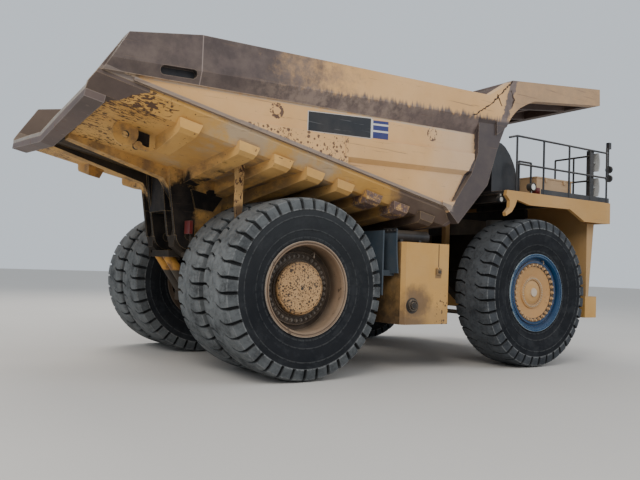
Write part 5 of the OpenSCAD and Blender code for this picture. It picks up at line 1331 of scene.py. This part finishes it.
# Seat: boxes of its cushion, back, head rest and arm rests, each from its low to its high corner
seatLook = {"bevel": 0.028, "boxes": (
    ((5.50, 1.13, 3.99), (6.07, 1.69, 4.12)), ((5.46, 1.14, 4.10), (5.62, 1.68, 4.76)),
    ((5.48, 1.28, 4.77), (5.60, 1.54, 4.93)), ((5.62, 1.08, 4.22), (5.98, 1.14, 4.28)),
    ((5.62, 1.68, 4.22), (5.98, 1.74, 4.28)))}


def makeSeat():
    seat = Shape()
    for (x0, y0, z0), (x1, y1, z1) in seatLook["boxes"]:
        corners = [(ax(x), y, z0) for x, y in ((x0, y0), (x1, y0), (x1, y1), (x0, y1))]
        seat.plate(corners, (0, 0, z1 - z0))
    seat.done("seatCushions", "trim", "chassis", "cab_trim", bevel=seatLook["bevel"])


# Lamp rims on the bumper, below the deck's rear corners and on the deck's work lamp
rimLampLook = {"tube": 0.013, "steps": 28, "bumper": (7.728, 2.30, 1.19), "apart": 0.23, "bumperRadius": 0.140,
               "rear": (4.44, 3.030, 3.33), "rearRadius": 0.060, "work": (5.30, -3.100, 3.65), "workRadius": 0.075}


def makeLampRims():
    look = rimLampLook
    shape = Shape()
    angles = [2 * math.pi * k / look["steps"] for k in range(look["steps"])]

    def hoop(x, y, z, axis, radius):
        center, axis = Vector((ax(x), y, z)), Vector(axis)
        a = axis.orthogonal().normalized()
        b = axis.cross(a)
        loop = [center + a * radius * math.cos(t) + b * radius * math.sin(t) for t in angles]
        shape.tube(loop, look["tube"], 6, True)

    for side, _ in sides:
        x, y, z = look["bumper"]
        for step in (-look["apart"], look["apart"]):
            hoop(x, side * (y + step), z, (1, 0, 0), look["bumperRadius"])
        x, y, z = look["rear"]
        hoop(x, side * y, z, (0, 1, 0), look["rearRadius"])
    hoop(*look["work"], (0, 1, 0), look["workRadius"])
    shape.done("lampRims", "dark", "chassis", "dark_steel", angle=60)


makeWelds()
makeSkirts()
makeStems()
makeSeals()
makeWiper()
makeSteeringWheel()
makeSeat()
makeLampRims()
print("fittings made")


# Step studs on the deck, left out below what stands on it (x and y from and to), and fins before the radiator core
deckLook = {"x0": 4.46, "x1": 7.66, "half": 3.12, "step": 0.105, "top": 3.5005, "radius": 0.019, "height": 0.006,
            "covered": ((5.02, 7.06, 0.50, 2.40), (5.66, 6.90, -2.92, -2.20), (4.53, 5.32, -2.69, -1.71))}
finLook = {"x": 7.425, "half": 1.155, "step": 0.034, "low": 1.51, "length": 1.83, "width": 0.007}
upwards = (0.0, 0.0, 1.0)


def makeStuds():
    look = deckLook
    spots = []
    for i in range(int((look["x1"] - look["x0"]) / look["step"]) + 1):
        for j in range(int(2 * look["half"] / look["step"]) + 1):
            x = look["x0"] + i * look["step"]
            y = -look["half"] + (j + 0.5 * (i % 2)) * look["step"]
            if y < look["half"] and not any(a < x < b and c < y < d for a, b, c, d in look["covered"]):
                spots.append(((ax(x), y, look["top"]), upwards))
    values = {"Radius": look["radius"], "Height": look["height"]}
    spread("deckStuds", "chassis", studTree, spots, values, "paint")


def makeFins():
    look = finLook
    count = int(2 * look["half"] / look["step"])
    fins = [((ax(look["x"]), -look["half"] + k * look["step"], look["low"]), upwards) for k in range(count + 1)]
    values = {"Width": look["width"], "Length": look["length"], "Spin": 0.0}
    spread("radiatorFins", "chassis", barTree, fins, values, "dark")


def row(x, y0, y1, z, count, aim):
    start, end = Vector((ax(x), y0, z)), Vector((ax(x), y1, z))
    return [(tuple(start.lerp(end, k / (count - 1))), aim) for k in range(count)]


# Rows of bolts on the flap clamps and on the bumper: x, y from and to, z, count, aim
chassisBoltLook = {"radius": 0.016, "height": 0.02, "sides": 6, "rows": (
    (skirtLook["x"] - skirtLook["clamp"], 2.54, 2.85, 2.565, 4, (-1.0, 0.0, 0.0)),
    (7.732, 0.35, 1.85, 1.36, 6, (1.0, 0.0, 0.0)), (7.732, 0.35, 1.85, 1.01, 6, (1.0, 0.0, 0.0)))}


def makeChassisBolts():
    spots = []
    for side, _ in sides:
        for x, y0, y1, z, count, aim in chassisBoltLook["rows"]:
            spots += row(x, side * y0, side * y1, z, count, aim)
    makeBolts("chassisBolts", "chassis", spots, chassisBoltLook, "dark")


makeStuds()
makeFins()
makeChassisBolts()
print("repeats made")


# Camera, lights and floor
cameraLook = {"place": (-8.008, -12.391, 1.834), "yaw": 33.201, "pitch": 2.4, "roll": 1.929, "lens": 38.574,
              "sensor": 36.0, "farthest": 400.0}


def makeCamera():
    yaw, pitch, roll = (math.radians(cameraLook[key]) for key in ("yaw", "pitch", "roll"))
    ahead = Vector((math.sin(yaw) * math.cos(pitch), math.cos(yaw) * math.cos(pitch), math.sin(pitch)))
    right = Vector((math.cos(yaw), -math.sin(yaw), 0.0))
    up = right.cross(ahead)
    tiltedRight = right * math.cos(roll) + up * math.sin(roll)
    tiltedUp = up * math.cos(roll) - right * math.sin(roll)
    data = bpy.data.cameras.new("camera")
    data.lens, data.sensor_width, data.clip_end = (cameraLook[key] for key in ("lens", "sensor", "farthest"))
    camera = bpy.data.objects.new("camera", data)
    camera.matrix_world = Matrix((tiltedRight, tiltedUp, -ahead)).transposed().to_4x4()
    camera.location = cameraLook["place"]
    bpy.context.scene.collection.objects.link(camera)
    bpy.context.scene.camera = camera


# Soft lights: place, target, size, power and color
lightLook = {"sky": (0.80, 0.87, 0.95), "skyStrength": 0.85,
             "areas": [((-16.0, -16.0, 17.0), (0.0, 0.0, 2.0), 12.0, 3400.0, (1.0, 0.96, 0.90)),
                       ((16.0, -20.0, 12.0), (1.0, 0.0, 2.0), 12.0, 1500.0, (0.95, 0.97, 1.0)),
                       ((0.0, 18.0, 20.0), (0.0, 0.0, 3.0), 12.0, 3000.0, (1.0, 0.95, 0.88))]}


def makeLights():
    world = bpy.data.worlds.new("sky")
    bpy.context.scene.world = world
    world.use_nodes = True
    back = world.node_tree.nodes["Background"]
    back.inputs[0].default_value = (*lightLook["sky"], 1.0)
    back.inputs[1].default_value = lightLook["skyStrength"]
    for number, (place, target, size, power, color) in enumerate(lightLook["areas"]):
        data = bpy.data.lights.new("softLight%d" % number, "AREA")
        data.size, data.energy, data.color = size, power, color
        light = bpy.data.objects.new(data.name, data)
        light.location = place
        light.rotation_euler = (Vector(target) - Vector(place)).to_track_quat("-Z", "Y").to_euler()
        bpy.context.scene.collection.objects.link(light)


floorLook = {"half": 120.0, "color": (0.56, 0.53, 0.49), "color2": (0.60, 0.57, 0.53), "rough": 0.9}


def makeFloor():
    half = floorLook["half"]
    material, wires, shader = newMaterial("paleFloor")
    tone = wires.noise(wires.place(), 0.35, 4.0, 0.5)
    wires.tree.links.new(wires.mix(tone, floorLook["color"], floorLook["color2"]), shader["Base Color"])
    shader["Roughness"].default_value = floorLook["rough"]
    materials["stage"] = material
    corners = [(-half, -half, 0), (half, -half, 0), (half, half, 0), (-half, half, 0)]
    newPiece("floor", corners, [(0, 1, 2, 3)], "stage")


makeCamera()
makeLights()
makeFloor()
print("stage made")
